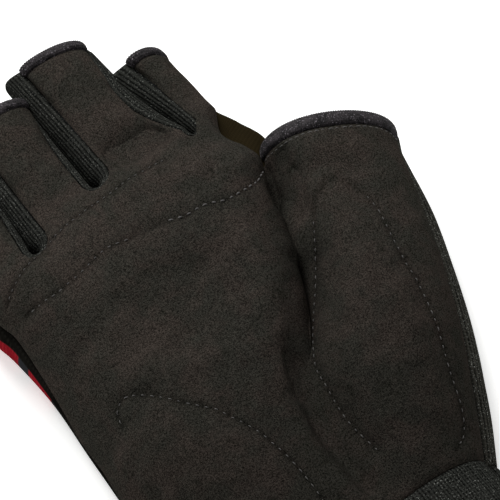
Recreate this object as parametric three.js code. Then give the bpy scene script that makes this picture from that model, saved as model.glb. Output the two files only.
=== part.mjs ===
// A half-finger weightlifting glove for the right hand, lying on its back with the palm up.
// Millimetres. +X points to the thumb side, +Y along the fingers and +Z up, out of the palm.
// The origin is on the face the glove rests on, under the middle of the palm.
//
// The glove is one closed surface, cut along its seams into cloth and suede pieces. Two sheets
// with the same layout, the palm and the back, are joined round their edge by side strips: a gusset
// between each two fingers, one in the web of the thumb and one along each side of the hand.
// Every piece gets its wall on the inside of that surface and stops short of its seams.

import * as THREE from "three";

// Sizes of the whole glove
const palmWidth = 90; // across the knuckles, seam to seam
const palmLength = 120; // from the cuff seam to the crotch beside the middle finger
const palmHeight = 33; // over the fullest part of the palm
const originShare = 0.683; // how far up the palm the origin lies
const fingerLength = 44; // middle finger, from its crotch to the rim
const fingerWidth = 22;
const fingerHeight = 21;
const thumbWidth = 36.5;
const thumbStub = 6.4; // from the web to the rim
const thumbAngle = THREE.MathUtils.degToRad(29); // between the fingers and the thumb
const cuffLength = 14;
const hemWidth = 3.5;
const bindingWidth = 4.2; // the folded tape round each finger rim

// Walls and clearances
// A wall runs along directions that are evened out over a few neighbours, and it gets longer
// by at most a share where they slant.
const suedeWall = 1.8;
const knitWall = 1.2;
const bindingWall = 2.2;
const cuffWall = 1.8;
const hemWall = 2.6;
const strapWall = 1.8;
const evenPasses = 2;
const mostSlant = 0.7;
const seamGap = 0.4; // between two pieces that are sewn together
const webNotch = 1.9; // the web's gusset ends this far from the root of the thumb
const tapeProud = 0.5; // how far a binding stands out of the suede
const strapClearance = 0.4; // between the strap and the cuff
const strapInset = 1.5; // from the strap's edges to the cuff's
const strapWidth = 21;
const strapReach = 48;
const strapCorner = 6;

// Crotches between the fingers
const crotchGap = 6.6;
const crotchDip = 3.2; // how far the rounded end reaches below the gap's corners
const backDip = 0.45; // and the back's gap, as a share of that
const gussetLean = 1.8; // each side of the gap leans this far into it on its way to the back
const gussetBulge = 0.7; // how far a gusset swells out between its two seams
const webBulge = 0.3;
const leanShare = 0.8; // 0 rounds an edge towards the back, 1 rounds it towards the front
const leanPasses = 8;
const scallop = 2.2; // dip of the palm at each crotch
const roundEdge = 0.5; // sharpness of an edge that leaves its seam like an ellipse

// Mesh density: quads across or along each stretch
const fingerColumns = 5;
const gapColumns = 2;
const thumbColumns = 9;
const fingerRows = 6;
const stripRows = 4;

function table(columns, rows) {
  const names = columns.split(" ");
  return rows.map((row) => Object.fromEntries(row.map((value, i) => [names[i], value])));
}

// The three lines that the palm hangs on, station by station from the cuff seam to the fingers.
// x, roll, backX and bulge are shares of palmWidth, y and backY of palmLength, z and crown of palmHeight.
// roll is how far from the line the surface needs to reach the crown, and sharp is how steeply it
// leaves the line: 0.5 is a round edge and 2 a soft valley. backX and backY place the back's edge.
const ulnarEdge = table("x y z roll crown backX bulge", [
  [-0.41, 0.0, 0.24, 0.34, 0.82, 0.05, 0.03],
  [-0.467, 0.15, 0.2, 0.3, 0.9, 0.06, 0.015],
  [-0.494, 0.283, 0.16, 0.28, 0.95, 0.06, 0.01],
  [-0.505, 0.383, 0.13, 0.27, 0.97, 0.06, 0.005],
  [-0.497, 0.483, 0.13, 0.26, 0.985, 0.05, 0.005],
  [-0.483, 0.583, 0.18, 0.26, 1.0, 0.03, 0.008],
  [-0.468, 0.708, 0.28, 0.26, 1.0, 0.005, 0.015],
  [-0.47, 0.833, 0.38, 0.25, 0.955, 0.0, 0.02],
  [-0.484, 0.883, 0.41, 0.24, 0.9, 0.01, 0.022],
  [-0.496, 0.93, 0.42, 0.22, 0.79, 0.02, 0.022],
]);
const creaseLine = table("x y z roll sharp thumbRoll thumbSharp backX backY", [
  [0.03, 0.0, 0.8, 0.15, 1.9, 0.15, 1.9, 0, 0],
  [0.048, 0.17, 0.77, 0.17, 1.8, 0.17, 1.8, 0, 0],
  [0.067, 0.275, 0.72, 0.19, 1.5, 0.19, 1.6, 0, 0],
  [0.117, 0.363, 0.65, 0.2, 1.15, 0.2, 1.3, 0, 0],
  [0.206, 0.446, 0.56, 0.19, 0.85, 0.19, 1.05, 0.01, 0],
  [0.294, 0.558, 0.48, 0.18, 0.6, 0.18, 0.85, 0.03, 0.01],
  [0.359, 0.7, 0.44, 0.17, 0.46, 0.17, 0.68, 0.07, 0.03],
  [0.447, 0.855, 0.46, 0.18, 0.45, 0.17, 0.55, 0.118, 0.08],
  [0.407, 0.962, 0.44, 0.2, 0.45, 0.17, 0.5, 0.132, 0.08],
  [0.475, 1.05, 0.3, 0.2, 0.5, 0.17, 0.5, 0.03, 0.05],
]);
const radialEdge = table("x y z roll crown backX bulge", [
  [0.38, 0.0, 0.3, 0.28, 0.82, 0.04, 0.045],
  [0.458, 0.1, 0.34, 0.24, 0.9, 0.03, 0.05],
  [0.518, 0.183, 0.38, 0.22, 0.95, 0.02, 0.05],
  [0.56, 0.242, 0.41, 0.21, 0.97, 0.015, 0.05],
  [0.613, 0.325, 0.43, 0.2, 0.96, 0.01, 0.05],
  [0.676, 0.433, 0.45, 0.19, 0.94, 0.005, 0.045],
  [0.745, 0.575, 0.46, 0.18, 0.91, 0.01, 0.045],
  [0.813, 0.717, 0.43, 0.18, 0.88, 0.03, 0.02],
]);
const webStation = 7; // the thumb and the palm part here
const baseStation = 9; // and here the fingers start
const strapStation = 1; // the back leaves room for the strap up to here
const stationsPerRow = 0.5;

// Fingers: rim centre x as a share of palmWidth, reach of fingerLength, heights of fingerHeight and
// the rest of fingerWidth. The rolls are shares of the finger's own width, slant of its half width.
// leftBack and rightBack say how far inside the front's edge the back's edge lies at the rim.
const fingers = table(
  "name x reach width slant leftZ rightZ crown leftRoll rightRoll " +
    "backLift leftBack rightBack leftBulge rightBulge",
  [
    ["little", -0.36, 0.47, 0.84, 0.02, 0.57, 0.62, 0.86, 0.5, 0.5, 0.1, 0.13, 0.1, 0.04, 0.06],
    ["ring", -0.08, 0.88, 0.92, -0.07, 0.62, 0.7, 1.0, 0.5, 0.5, 0.08, 0.12, 0.08, 0.06, 0.03],
    ["middle", 0.158, 0.99, 0.85, -0.09, 0.7, 0.7, 1.0, 0.5, 0.5, 0.08, 0.08, 0.03, 0.03, 0.08],
    ["index", 0.4, 0.668, 0.58, -0.16, 0.83, 0.32, 0.96, 0.3, 0.7, 0.08, -0.04, 0.1, 0.15, 0.02],
  ],
);
const rimOverhang = 2.2; // the back of each finger reaches further than its front
const crotches = table("x y", [
  [-0.269, 0.95],
  [-0.018, 1.0],
  [0.302, 0.992],
]);

// Rim of the thumb, with heights as shares of palmHeight and rolls of palmWidth
const thumbRim = { leftZ: 0.36, rightZ: 0.42, crown: 0.865, roll: 0.2, backLift: 0.09 };
const thumbBack = { leftX: 0.095, leftY: 0.075, rightX: -0.03, rightY: 0.02 }; // shares of palmWidth

// Pads and hollows of the palm, as soft-edged ovals. Places and half sizes are shares of palmWidth,
// turn is in degrees and raise in millimetres.
const reliefs = table("x y halfLength halfWidth turn raise", [
  [0.31, -0.43, 0.5, 0.19, -21, 1.5], // thumb pad
  [-0.3, -0.58, 0.36, 0.2, 20, 1.3], // heel pad
  [-0.03, 0.25, 0.1, 0.44, 3, 1.1], // knuckle pad
  [-0.05, -0.08, 0.2, 0.26, 0, -1.6], // hollow of the palm
  [0.17, 0.455, 0.06, 0.13, 10, -2.6], // crease at the root of the middle finger
  [-0.16, 0.47, 0.05, 0.1, 0, -1.2], // and of the ring finger
]);

// A smooth curve through the rows of a table, column by column.
function sample(rows, at) {
  const last = rows.length - 1;
  const i = Math.min(Math.max(Math.floor(at), 0), last - 1);
  const t = at - i;
  const [a, b, c, d] = [Math.max(i - 1, 0), i, i + 1, Math.min(i + 2, last)].map((k) => rows[k]);
  const blend = (p, q, r, s) =>
    q + 0.5 * t * (r - p + t * (2 * p - 5 * q + 4 * r - s + t * (3 * (q - r) + s - p)));
  return Object.fromEntries(Object.keys(b).map((k) => [k, blend(a[k], b[k], c[k], d[k])]));
}

const mix = (a, b, t) => a + (b - a) * t;
const mixPoint = (a, b, t) => ({ x: mix(a.x, b.x, t), y: mix(a.y, b.y, t) });
const smooth = (t) => t * t * (3 - 2 * t);
const spread = (u) => (1 - Math.cos(Math.PI * u)) / 2; // even columns, closer near both edges
const unspread = (t) => Math.acos(1 - 2 * t) / Math.PI;
const yOf = (share) => (share - originShare) * palmLength;

// Share of the full height that is reached at a distance from an edge.
function rise(distance, roll, sharp) {
  const q = Math.min(Math.max(distance / roll, 0), 1);
  return (q * (2 - q)) ** sharp;
}

function relief(x, y) {
  let height = 0;
  for (const pad of reliefs) {
    const turn = THREE.MathUtils.degToRad(pad.turn);
    const dx = x / palmWidth - pad.x;
    const dy = y / palmWidth - pad.y;
    const along = (dy * Math.cos(turn) - dx * Math.sin(turn)) / pad.halfLength;
    const across = (dx * Math.cos(turn) + dy * Math.sin(turn)) / pad.halfWidth;
    const q = Math.min(along * along + across * across, 1);
    height += pad.raise * (1 - q * q) ** 2;
  }
  return height;
}

// Everything about one row across the hand: its three edge points and the shape between them.
// at is the station; below the cuff seam it is negative, and counts millimetres down the cuff.
function rowAt(at, isBack) {
  const down = Math.max(-at, 0);
  const u = sample(ulnarEdge, Math.max(at, 0));
  const c = sample(creaseLine, Math.max(at, 0));
  const r = sample(radialEdge, Math.min(Math.max(at, 0), webStation));
  const inset = isBack ? 1 : 0;
  const strapRoom = strapWall + strapClearance;
  const lift = strapRoom * (1 - smooth(Math.min(Math.max((at - strapStation) / 3, 0), 1)));
  return {
    ulnar: { x: (u.x + inset * u.backX) * palmWidth, y: yOf(u.y) - down },
    crease: {
      x: (c.x + inset * c.backX) * palmWidth,
      y: yOf(c.y + inset * c.backY) - down,
    },
    radial: { x: (r.x - inset * r.backX) * palmWidth, y: yOf(r.y) - down },
    ulnarZ: u.z * palmHeight,
    creaseZ: c.z * palmHeight,
    radialZ: r.z * palmHeight,
    crown: u.crown * palmHeight,
    thumbCrown: r.crown * palmHeight,
    ulnarRoll: u.roll * palmWidth,
    creaseRoll: c.roll * palmWidth,
    thumbRoll: c.thumbRoll * palmWidth,
    radialRoll: r.roll * palmWidth,
    sharp: c.sharp,
    thumbSharp: c.thumbSharp,
    lift,
  };
}

// Height over a row between two edges, the first at z0 and the second at z1.
function archHeight(width, share, crown, z0, roll0, sharp0, z1, roll1, sharp1) {
  const first = rise(share * width, roll0, sharp0);
  const second = rise((1 - share) * width, roll1, sharp1);
  return crown - (crown - z0) * (1 - first) - (crown - z1) * (1 - second);
}

// The shared surface: a pool of points, and the faces of each piece as loops of four.
const points = [];
const pieces = new Map();

function point(x, y, z) {
  points.push(new THREE.Vector3(x, y, z));
  return points.length - 1;
}

function addQuads(name, grid, reversed) {
  if (!pieces.has(name)) pieces.set(name, []);
  const quads = pieces.get(name);
  for (let r = 0; r + 1 < grid.length; r++) {
    for (let c = 0; c + 1 < grid[r].length; c++) {
      const loop = [grid[r][c], grid[r][c + 1], grid[r + 1][c + 1], grid[r + 1][c]];
      quads.push(reversed ? loop.reverse() : loop);
    }
  }
}

// Stations of the rows: the hem, the cuff, and then the palm and thumb up to the fingers.
const cuffRows = [-(cuffLength + hemWidth), -cuffLength, -cuffLength / 2, 0];
const hemEnd = 1;
const cuffEnd = cuffRows.length - 1;
const palmRows = [...cuffRows];
for (let at = stationsPerRow; at <= baseStation; at += stationsPerRow) palmRows.push(at);
const webRow = cuffEnd + webStation / stationsPerRow;
const stubShares = [1 - bindingWidth / thumbStub, 1 - bindingWidth / 2 / thumbStub, 1];

// Where each finger's columns start and end in the last row of the palm, as shares of its width.
function fingerSpans(isBack) {
  const base = rowAt(baseStation, isBack);
  const half = crotchGap / 2 - (isBack ? gussetLean : 0);
  const width = base.crease.x - base.ulnar.x;
  const share = (x) => (x - base.ulnar.x) / width;
  const edges = [0];
  for (const c of crotches) {
    edges.push(share(c.x * palmWidth - half), share(c.x * palmWidth + half));
  }
  return [...edges, 1];
}

// Columns of the palm: a fixed number for each finger and for each gap between two.
function palmColumns(isBack) {
  const edges = fingerSpans(isBack);
  const columns = [{ t: 0, finger: 0, within: 0 }];
  for (let k = 0; k + 1 < edges.length; k++) {
    const isGap = k % 2 === 1;
    const count = isGap ? gapColumns : fingerColumns;
    const [from, to] = [unspread(edges[k]), unspread(edges[k + 1])];
    for (let i = 1; i <= count; i++) {
      const within = i / count;
      const t = isBack ? mix(edges[k], edges[k + 1], within) : spread(mix(from, to, within));
      columns.push({ t, finger: isGap ? -1 : k / 2, within });
    }
  }
  return columns;
}

// How far the row of crotches lies above the straight line from edge to edge.
function crotchRise(t, isBack) {
  const base = rowAt(baseStation, isBack);
  const knots = [{ t: 0, d: 0 }];
  for (const c of crotches) {
    const share = (c.x * palmWidth - base.ulnar.x) / (base.crease.x - base.ulnar.x);
    const straight = mix(base.ulnar.y, base.crease.y, share);
    knots.push({ t: share, d: yOf(c.y) - straight + (isBack ? gussetLean : 0) });
  }
  knots.push({ t: 1, d: 0 });
  const i = Math.max(knots.findIndex((k) => k.t >= t), 1) - 1;
  return mix(knots[i].d, knots[i + 1].d, smooth((t - knots[i].t) / (knots[i + 1].t - knots[i].t)));
}

// One point of the palm. near is 0 up to the web and 1 at the foot of the fingers.
function palmPoint(row, column, near, at, isBack) {
  const p = mixPoint(row.ulnar, row.crease, column.t);
  const inGap = column.finger < 0 && column.within < 1;
  p.y += near * crotchRise(column.t, isBack);
  if (inGap && at === baseStation) p.y -= crotchDip * (isBack ? backDip : 1);
  if (isBack) return point(p.x, p.y, row.lift);
  const arch = archHeight(
    Math.hypot(row.crease.x - row.ulnar.x, row.crease.y - row.ulnar.y), column.t, row.crown,
    row.ulnarZ, row.ulnarRoll, roundEdge,
    row.creaseZ, row.creaseRoll, row.sharp,
  );
  const onEdge = column.t === 0 || column.t === 1;
  const outer = column.finger === 0 ? column.within < 0.5 : column.finger === 3 && column.within > 0.5;
  const dip = column.finger < 0 ? 1 : 1 - Math.sin(Math.PI * column.within);
  const drop = outer ? 0 : near * scallop * dip;
  return point(p.x, p.y, arch - drop + (!onEdge && at > 0 ? relief(p.x, p.y) : 0));
}

// One of the two sheets. Both have the same rows and columns, so their edges match point by point.
function buildSheet(isBack) {
  const columns = palmColumns(isBack);
  const palm = palmRows.map((at) => {
    const row = rowAt(at, isBack);
    const near = smooth(Math.min(Math.max((at - webStation) / (baseStation - webStation), 0), 1));
    return columns.map((column) => palmPoint(row, column, near, at, isBack));
  });
  const thumb = palmRows.slice(0, webRow + 1).map((at, r) =>
    thumbLine(rowAt(at, isBack), isBack, palm[r].at(-1), at > 0),
  );
  const web = rowAt(webStation, isBack);
  const rim = rimOfThumb(isBack);
  for (const v of stubShares) {
    const row = {};
    for (const key of ["crease", "radial"]) row[key] = mixPoint(web[key], rim[key], v);
    for (const key of ["creaseZ", "radialZ", "thumbCrown", "radialRoll", "thumbRoll", "thumbSharp", "lift"]) {
      row[key] = mix(web[key], rim[key], v);
    }
    thumb.push(thumbLine(row, isBack, null, true));
  }
  const lobes = fingers.map((finger, f) => {
    const start = f * (fingerColumns + gapColumns);
    return buildFinger(finger, palm.at(-1).slice(start, start + fingerColumns + 1), isBack);
  });
  return { palm, thumb, lobes };
}

function rimOfThumb(isBack) {
  const web = rowAt(webStation, false);
  const middle = mixPoint(web.crease, web.radial, 0.5);
  const along = { x: Math.sin(thumbAngle), y: Math.cos(thumbAngle) };
  const centre = { x: middle.x + along.x * thumbStub, y: middle.y + along.y * thumbStub };
  const half = thumbWidth / 2;
  const shift = isBack ? palmWidth : 0;
  return {
    crease: {
      x: centre.x - along.y * half + shift * thumbBack.leftX,
      y: centre.y + along.x * half + shift * thumbBack.leftY,
    },
    radial: {
      x: centre.x + along.y * half + shift * thumbBack.rightX,
      y: centre.y - along.x * half + shift * thumbBack.rightY,
    },
    creaseZ: thumbRim.leftZ * palmHeight,
    radialZ: thumbRim.rightZ * palmHeight,
    thumbCrown: thumbRim.crown * palmHeight,
    radialRoll: thumbRim.roll * palmWidth,
    thumbRoll: thumbRim.roll * palmWidth,
    thumbSharp: roundEdge,
    lift: thumbRim.backLift * palmHeight,
  };
}

// One row across the thumb, from the crease to the radial edge. first is the palm's own point.
function thumbLine(row, isBack, first, hasRelief) {
  const width = Math.hypot(row.radial.x - row.crease.x, row.radial.y - row.crease.y);
  const line = [];
  for (let c = 0; c <= thumbColumns; c++) {
    const t = isBack ? c / thumbColumns : spread(c / thumbColumns);
    const p = mixPoint(row.crease, row.radial, t);
    const arch = archHeight(
      width, t, row.thumbCrown,
      row.creaseZ, row.thumbRoll, row.thumbSharp,
      row.radialZ, row.radialRoll, roundEdge,
    );
    const extra = hasRelief && c > 0 && c < thumbColumns ? relief(p.x, p.y) : 0;
    line.push(c === 0 && first !== null ? first : point(p.x, p.y, isBack ? row.lift : arch + extra));
  }
  return line;
}

// One finger: it starts as its stretch of the palm's last row and ends in its own round rim.
function buildFinger(finger, base, isBack) {
  const [left, right] = [points[base[0]], points[base.at(-1)]];
  const half = (finger.width * fingerWidth) / 2;
  const leftBack = isBack ? finger.leftBack * fingerWidth : 0;
  const rightBack = isBack ? finger.rightBack * fingerWidth : 0;
  const leftZ = (isBack ? finger.backLift : finger.leftZ) * fingerHeight;
  const rightZ = (isBack ? finger.backLift : finger.rightZ) * fingerHeight;
  const x = finger.x * palmWidth;
  const y = yOf(1) + finger.reach * fingerLength + (isBack ? rimOverhang : 0);
  const tilt = finger.slant * half;
  const rimLeft = new THREE.Vector3(x - half + leftBack, y - tilt, leftZ);
  const rimRight = new THREE.Vector3(x + half - rightBack, y + tilt, rightZ);
  const seam = 1 - bindingWidth / (finger.reach * fingerLength);
  const shares = [];
  for (let r = 1; r <= fingerRows; r++) shares.push((seam * r) / fingerRows);
  shares.push((1 + seam) / 2, 1);
  const rows = shares.map((v) => {
    const w = smooth(v);
    const from = left.clone().lerp(rimLeft, v);
    const to = right.clone().lerp(rimRight, v);
    return base.map((id, c) => {
      const t = isBack ? c / fingerColumns : spread(c / fingerColumns);
      const baseShare = (points[id].x - left.x) / (right.x - left.x);
      const own = points[id].clone().sub(left.clone().lerp(right, baseShare));
      const p = from.clone().lerp(to, mix(baseShare, t, w)).addScaledVector(own, 1 - w);
      if (isBack) return point(p.x, p.y, p.z);
      const arch = archHeight(
        2 * half, t, finger.crown * fingerHeight,
        leftZ, finger.leftRoll * 2 * half, roundEdge,
        rightZ, finger.rightRoll * 2 * half, roundEdge,
      );
      const inner = c > 0 && c < fingerColumns;
      const pads = inner ? (1 - w) * (relief(p.x, p.y) - relief(points[id].x, points[id].y)) : 0;
      return point(p.x, p.y, p.z + w * (arch - mix(leftZ, rightZ, t)) + pads);
    });
  });
  return [base, ...rows];
}

// A side strip between two matching edges. The order of the path keeps the glove on its right.
function buildStrip(top, bottom, bulges) {
  const alongs = top.map((_, i) => {
    const before = points[top[Math.max(i - 1, 0)]];
    const after = points[top[Math.min(i + 1, top.length - 1)]];
    return new THREE.Vector2(after.x - before.x, after.y - before.y).normalize();
  });
  let leans = top.map((id, i) => {
    const [a, b] = [points[id], points[bottom[i]]];
    const outset = alongs[i].x * (b.y - a.y) - alongs[i].y * (b.x - a.x);
    return leanShare * smooth(Math.min(Math.max(0.5 + outset / 2, 0), 1));
  });
  for (let pass = 0; pass < leanPasses; pass++) {
    leans = leans.map((v, i) => ((leans[i - 1] ?? v) + 2 * v + (leans[i + 1] ?? v)) / 4);
  }
  return top.map((id, i) => {
    const [a, b] = [points[id], points[bottom[i]]];
    const column = [id];
    for (let k = 1; k < stripRows; k++) {
      const angle = (Math.PI / 2) * (k / stripRows);
      const out = bulges[i] * Math.sin(2 * angle);
      const across = mix(1 - Math.cos(angle), Math.sin(angle), leans[i]);
      const down = mix(Math.sin(angle), 1 - Math.cos(angle), leans[i]);
      const x = mix(a.x, b.x, across) - alongs[i].y * out;
      const y = mix(a.y, b.y, across) + alongs[i].x * out;
      column.push(point(x, y, mix(a.z, b.z, down)));
    }
    column.push(bottom[i]);
    return column;
  });
}

const palmSheet = buildSheet(false);
const backSheet = buildSheet(true);

// The paths of the six strips, as ids on either sheet.
const columnOf = (grid, c, from, to) => {
  const ids = [];
  const step = from <= to ? 1 : -1;
  for (let r = from; r !== to + step; r += step) ids.push(grid[r].at(c));
  return ids;
};
const rimRow = fingerRows + 2;
const stubEnd = webRow + 3;

function crotchPath(sheet, f) {
  const gapStart = f * (fingerColumns + gapColumns) + fingerColumns;
  const gap = sheet.palm.at(-1).slice(gapStart + 1, gapStart + gapColumns);
  return [
    ...columnOf(sheet.lobes[f], -1, rimRow, 0),
    ...gap,
    ...columnOf(sheet.lobes[f + 1], 0, 0, rimRow),
  ];
}
const ulnarPath = (sheet) => [
  ...columnOf(sheet.palm, 0, 0, sheet.palm.length - 1),
  ...columnOf(sheet.lobes[0], 0, 1, rimRow),
];
const webPath = (sheet) => [
  ...columnOf(sheet.lobes[3], -1, rimRow, 0),
  ...columnOf(sheet.palm, -1, sheet.palm.length - 2, webRow),
  ...columnOf(sheet.thumb, 0, webRow + 1, stubEnd),
];
const radialPath = (sheet) => columnOf(sheet.thumb, thumbColumns, stubEnd, 0);

// Swelling of each strip along its path, from a rim to the crotch and back out to the next rim.
const fade = (rim, root, r) => mix(root, rim * fingerWidth, smooth(r / rimRow));
function crotchBulges(f) {
  const bulges = [];
  for (let r = rimRow; r >= 0; r--) bulges.push(fade(fingers[f].rightBulge, gussetBulge, r));
  for (let i = 1; i < gapColumns; i++) bulges.push(0);
  for (let r = 0; r <= rimRow; r++) bulges.push(fade(fingers[f + 1].leftBulge, gussetBulge, r));
  return bulges;
}
const ulnarBulges = palmRows.map((at) => sample(ulnarEdge, Math.max(at, 0)).bulge * palmWidth);
const lastBulge = ulnarBulges.at(-1);
for (let r = 1; r <= rimRow; r++) ulnarBulges.push(fade(fingers[0].leftBulge, lastBulge, r));
const radialBulges = columnOf(palmSheet.thumb, thumbColumns, stubEnd, 0).map((_, i) => {
  const at = palmRows[Math.max(Math.min(stubEnd - i, webRow), 0)];
  return sample(radialEdge, Math.min(Math.max(at, 0), webStation)).bulge * palmWidth;
});

const fingerNames = fingers.map((f) => f.name);
const gussets = [0, 1, 2].map((f) => {
  const top = crotchPath(palmSheet, f);
  return buildStrip(top, crotchPath(backSheet, f), crotchBulges(f));
});
const webTop = webPath(palmSheet);
const webStrip = buildStrip(webTop, webPath(backSheet), webTop.map(() => webBulge));
const ulnarStrip = buildStrip(ulnarPath(palmSheet), ulnarPath(backSheet), ulnarBulges);
const radialStrip = buildStrip(radialPath(palmSheet), radialPath(backSheet), radialBulges);

// Each piece takes its faces. The palm sheet faces up and the back sheet down.
for (const [sheet, side, reversed] of [[palmSheet, "palm_panel", false], [backSheet, "back_panel", true]]) {
  addQuads("cuff_hem", sheet.palm.slice(0, hemEnd + 1), reversed);
  addQuads("cuff_hem", sheet.thumb.slice(0, hemEnd + 1), reversed);
  addQuads("cuff", sheet.palm.slice(hemEnd, cuffEnd + 1), reversed);
  addQuads("cuff", sheet.thumb.slice(hemEnd, cuffEnd + 1), reversed);
  addQuads(side, sheet.palm.slice(cuffEnd), reversed);
  addQuads(side, sheet.thumb.slice(cuffEnd, webRow + 2), reversed);
  addQuads(reversed ? side : "thumb_binding", sheet.thumb.slice(webRow + 1), reversed);
  sheet.lobes.forEach((rows, f) => {
    addQuads(side, rows.slice(0, fingerRows + 1), reversed);
    addQuads(reversed ? side : fingerNames[f] + "_binding", rows.slice(fingerRows), reversed);
  });
}
addQuads("gusset_little_ring", gussets[0], true);
addQuads("gusset_ring_middle", gussets[1], true);
addQuads("gusset_middle_index", gussets[2], true);
addQuads("web_gusset", webStrip, true);
for (const [strip, name] of [[ulnarStrip, "ulnar_side"], [[...radialStrip].reverse(), "thumb_side"]]) {
  const reversed = name === "ulnar_side";
  addQuads("cuff_hem", strip.slice(0, hemEnd + 1), reversed);
  addQuads("cuff", strip.slice(hemEnd, cuffEnd + 1), reversed);
  addQuads(name, strip.slice(cuffEnd), reversed);
}

// Outward direction at every point of the shared surface.
const normals = points.map(() => new THREE.Vector3());
for (const quads of pieces.values()) {
  for (const [a, b, c, d] of quads) {
    const p = points[c].clone().sub(points[a]);
    const area = p.cross(points[d].clone().sub(points[b]));
    for (const id of [a, b, c, d]) normals[id].add(area);
  }
}
normals.forEach((n) => n.normalize());

// The walls follow those directions evened out, so that they don't cross beside a sharp seam.
function evenedOut(directions) {
  const sums = directions.map((n) => n.clone());
  for (const quads of pieces.values()) {
    for (const loop of quads) {
      loop.forEach((id, i) => sums[id].addScaledVector(directions[loop[(i + 1) % 4]], 0.5));
      loop.forEach((id, i) => sums[id].addScaledVector(directions[loop[(i + 3) % 4]], 0.5));
    }
  }
  return sums.map((n) => n.normalize());
}
let inwards = normals;
for (let pass = 0; pass < evenPasses; pass++) inwards = evenedOut(inwards);

const webRoot = palmSheet.palm[webRow].at(-1);
const sewnIn = new Set([...gussets, webStrip, ulnarStrip, radialStrip].flat(2));

// Thickens a piece: its outer skin stands proud by some height, its wall goes inwards from there,
// and its edges draw back from the seams by half a gap. A binding ends flush in the side seams.
function thicken(name, quads, wall, proud = 0) {
  const edges = new Map();
  for (const loop of quads) {
    loop.forEach((a, i) => {
      const b = loop[(i + 1) % 4];
      if (edges.has(b + "," + a)) edges.delete(b + "," + a);
      else edges.set(a + "," + b, [a, b]);
    });
  }
  const pull = new Map();
  for (const [a, b] of edges.values()) {
    for (const id of [a, b]) pull.set(id, { towards: new THREE.Vector3(), facing: new THREE.Vector3() });
  }
  for (const loop of quads) {
    const [p, q, r, t] = loop.map((id) => points[id]);
    const facing = r.clone().sub(p).cross(t.clone().sub(q));
    const centre = p.clone().add(q).add(r).add(t).multiplyScalar(0.25);
    for (const id of loop) {
      if (!pull.has(id)) continue;
      pull.get(id).towards.add(centre.clone().sub(points[id]).normalize());
      pull.get(id).facing.add(facing);
    }
  }
  const ids = new Map();
  const place = [];
  for (const id of new Set(quads.flat())) {
    ids.set(id, place.length / 2);
    const base = points[id].clone();
    if (pull.has(id)) {
      const { towards, facing } = pull.get(id);
      facing.normalize();
      towards.addScaledVector(facing, -towards.dot(facing)).normalize();
      const slip = Math.sqrt(Math.max(1 - towards.dot(inwards[id]) ** 2, 0.1));
      const gap = name === "web_gusset" && id === webRoot ? webNotch : seamGap / 2;
      base.addScaledVector(towards, gap / slip);
    }
    const height = name.endsWith("_binding") && sewnIn.has(id) ? 0 : proud;
    const skin = base.clone().addScaledVector(normals[id], height);
    const depth = wall / Math.max(inwards[id].dot(normals[id]), mostSlant);
    place.push(skin, skin.clone().addScaledVector(inwards[id], -depth));
  }
  const outer = (id) => 2 * ids.get(id);
  const inner = (id) => 2 * ids.get(id) + 1;
  const triangles = [];
  const quad = (a, b, c, d) => triangles.push(a, b, c, a, c, d);
  for (const [a, b, c, d] of quads) {
    quad(outer(a), outer(b), outer(c), outer(d));
    quad(inner(d), inner(c), inner(b), inner(a));
  }
  for (const [a, b] of edges.values()) quad(outer(a), inner(a), inner(b), outer(b));
  const geometry = new THREE.BufferGeometry();
  geometry.setAttribute("position", new THREE.Float32BufferAttribute(place.flatMap((p) => p.toArray()), 3));
  geometry.setIndex(triangles);
  geometry.computeVertexNormals();
  return geometry;
}

const glove = new THREE.Group();
const suede = { color: 0x2a2623, roughness: 0.95, metalness: 0 };
const knit = { color: 0x1b1c1c, roughness: 0.85, metalness: 0 };
const tape = { color: 0x24232a, roughness: 0.75, metalness: 0 };

const finishes = {
  palm_panel: [suede, suedeWall],
  cuff: [knit, cuffWall],
  cuff_hem: [tape, hemWall, tapeProud],
};
for (const [name, quads] of pieces) {
  const usual = name.endsWith("_binding") ? [tape, bindingWall, tapeProud] : [knit, knitWall];
  const [material, wall, proud] = finishes[name] ?? usual;
  const mesh = new THREE.Mesh(thicken(name, quads, wall, proud), new THREE.MeshStandardMaterial(material));
  mesh.name = name;
  glove.add(mesh);
}

// The closing strap lies flat under the wrist, with round corners at its free end.
function buildStrap() {
  const wrist = rowAt(0, true);
  const right = wrist.radial.x - strapInset;
  const bottom = wrist.radial.y - cuffLength + strapClearance;
  const left = right - strapReach;
  const top = bottom + strapWidth;
  const outline = new THREE.Shape();
  outline.moveTo(right, bottom);
  outline.lineTo(right, top);
  outline.lineTo(left + strapCorner, top);
  outline.absarc(left + strapCorner, top - strapCorner, strapCorner, Math.PI / 2, Math.PI);
  outline.lineTo(left, bottom + strapCorner);
  outline.absarc(left + strapCorner, bottom + strapCorner, strapCorner, Math.PI, (3 * Math.PI) / 2);
  outline.closePath();
  return new THREE.ExtrudeGeometry(outline, { depth: strapWall, bevelEnabled: false, curveSegments: 6 });
}
const strap = new THREE.Mesh(buildStrap(), new THREE.MeshStandardMaterial(knit));
strap.name = "wrist_strap";
glove.add(strap);

export default glove;
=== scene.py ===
import bpy
import numpy as np
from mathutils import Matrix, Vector
from mathutils.bvhtree import BVHTree


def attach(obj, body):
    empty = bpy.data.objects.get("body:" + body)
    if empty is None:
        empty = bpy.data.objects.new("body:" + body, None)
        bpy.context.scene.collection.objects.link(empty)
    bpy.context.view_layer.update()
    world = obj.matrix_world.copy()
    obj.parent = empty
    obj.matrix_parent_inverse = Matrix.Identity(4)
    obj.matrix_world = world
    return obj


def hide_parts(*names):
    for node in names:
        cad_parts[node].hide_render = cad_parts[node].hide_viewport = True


# A half-finger weightlifting glove for the right hand, lying on its back with the palm up.
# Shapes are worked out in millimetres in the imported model's frame, and stored in metres.

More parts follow.
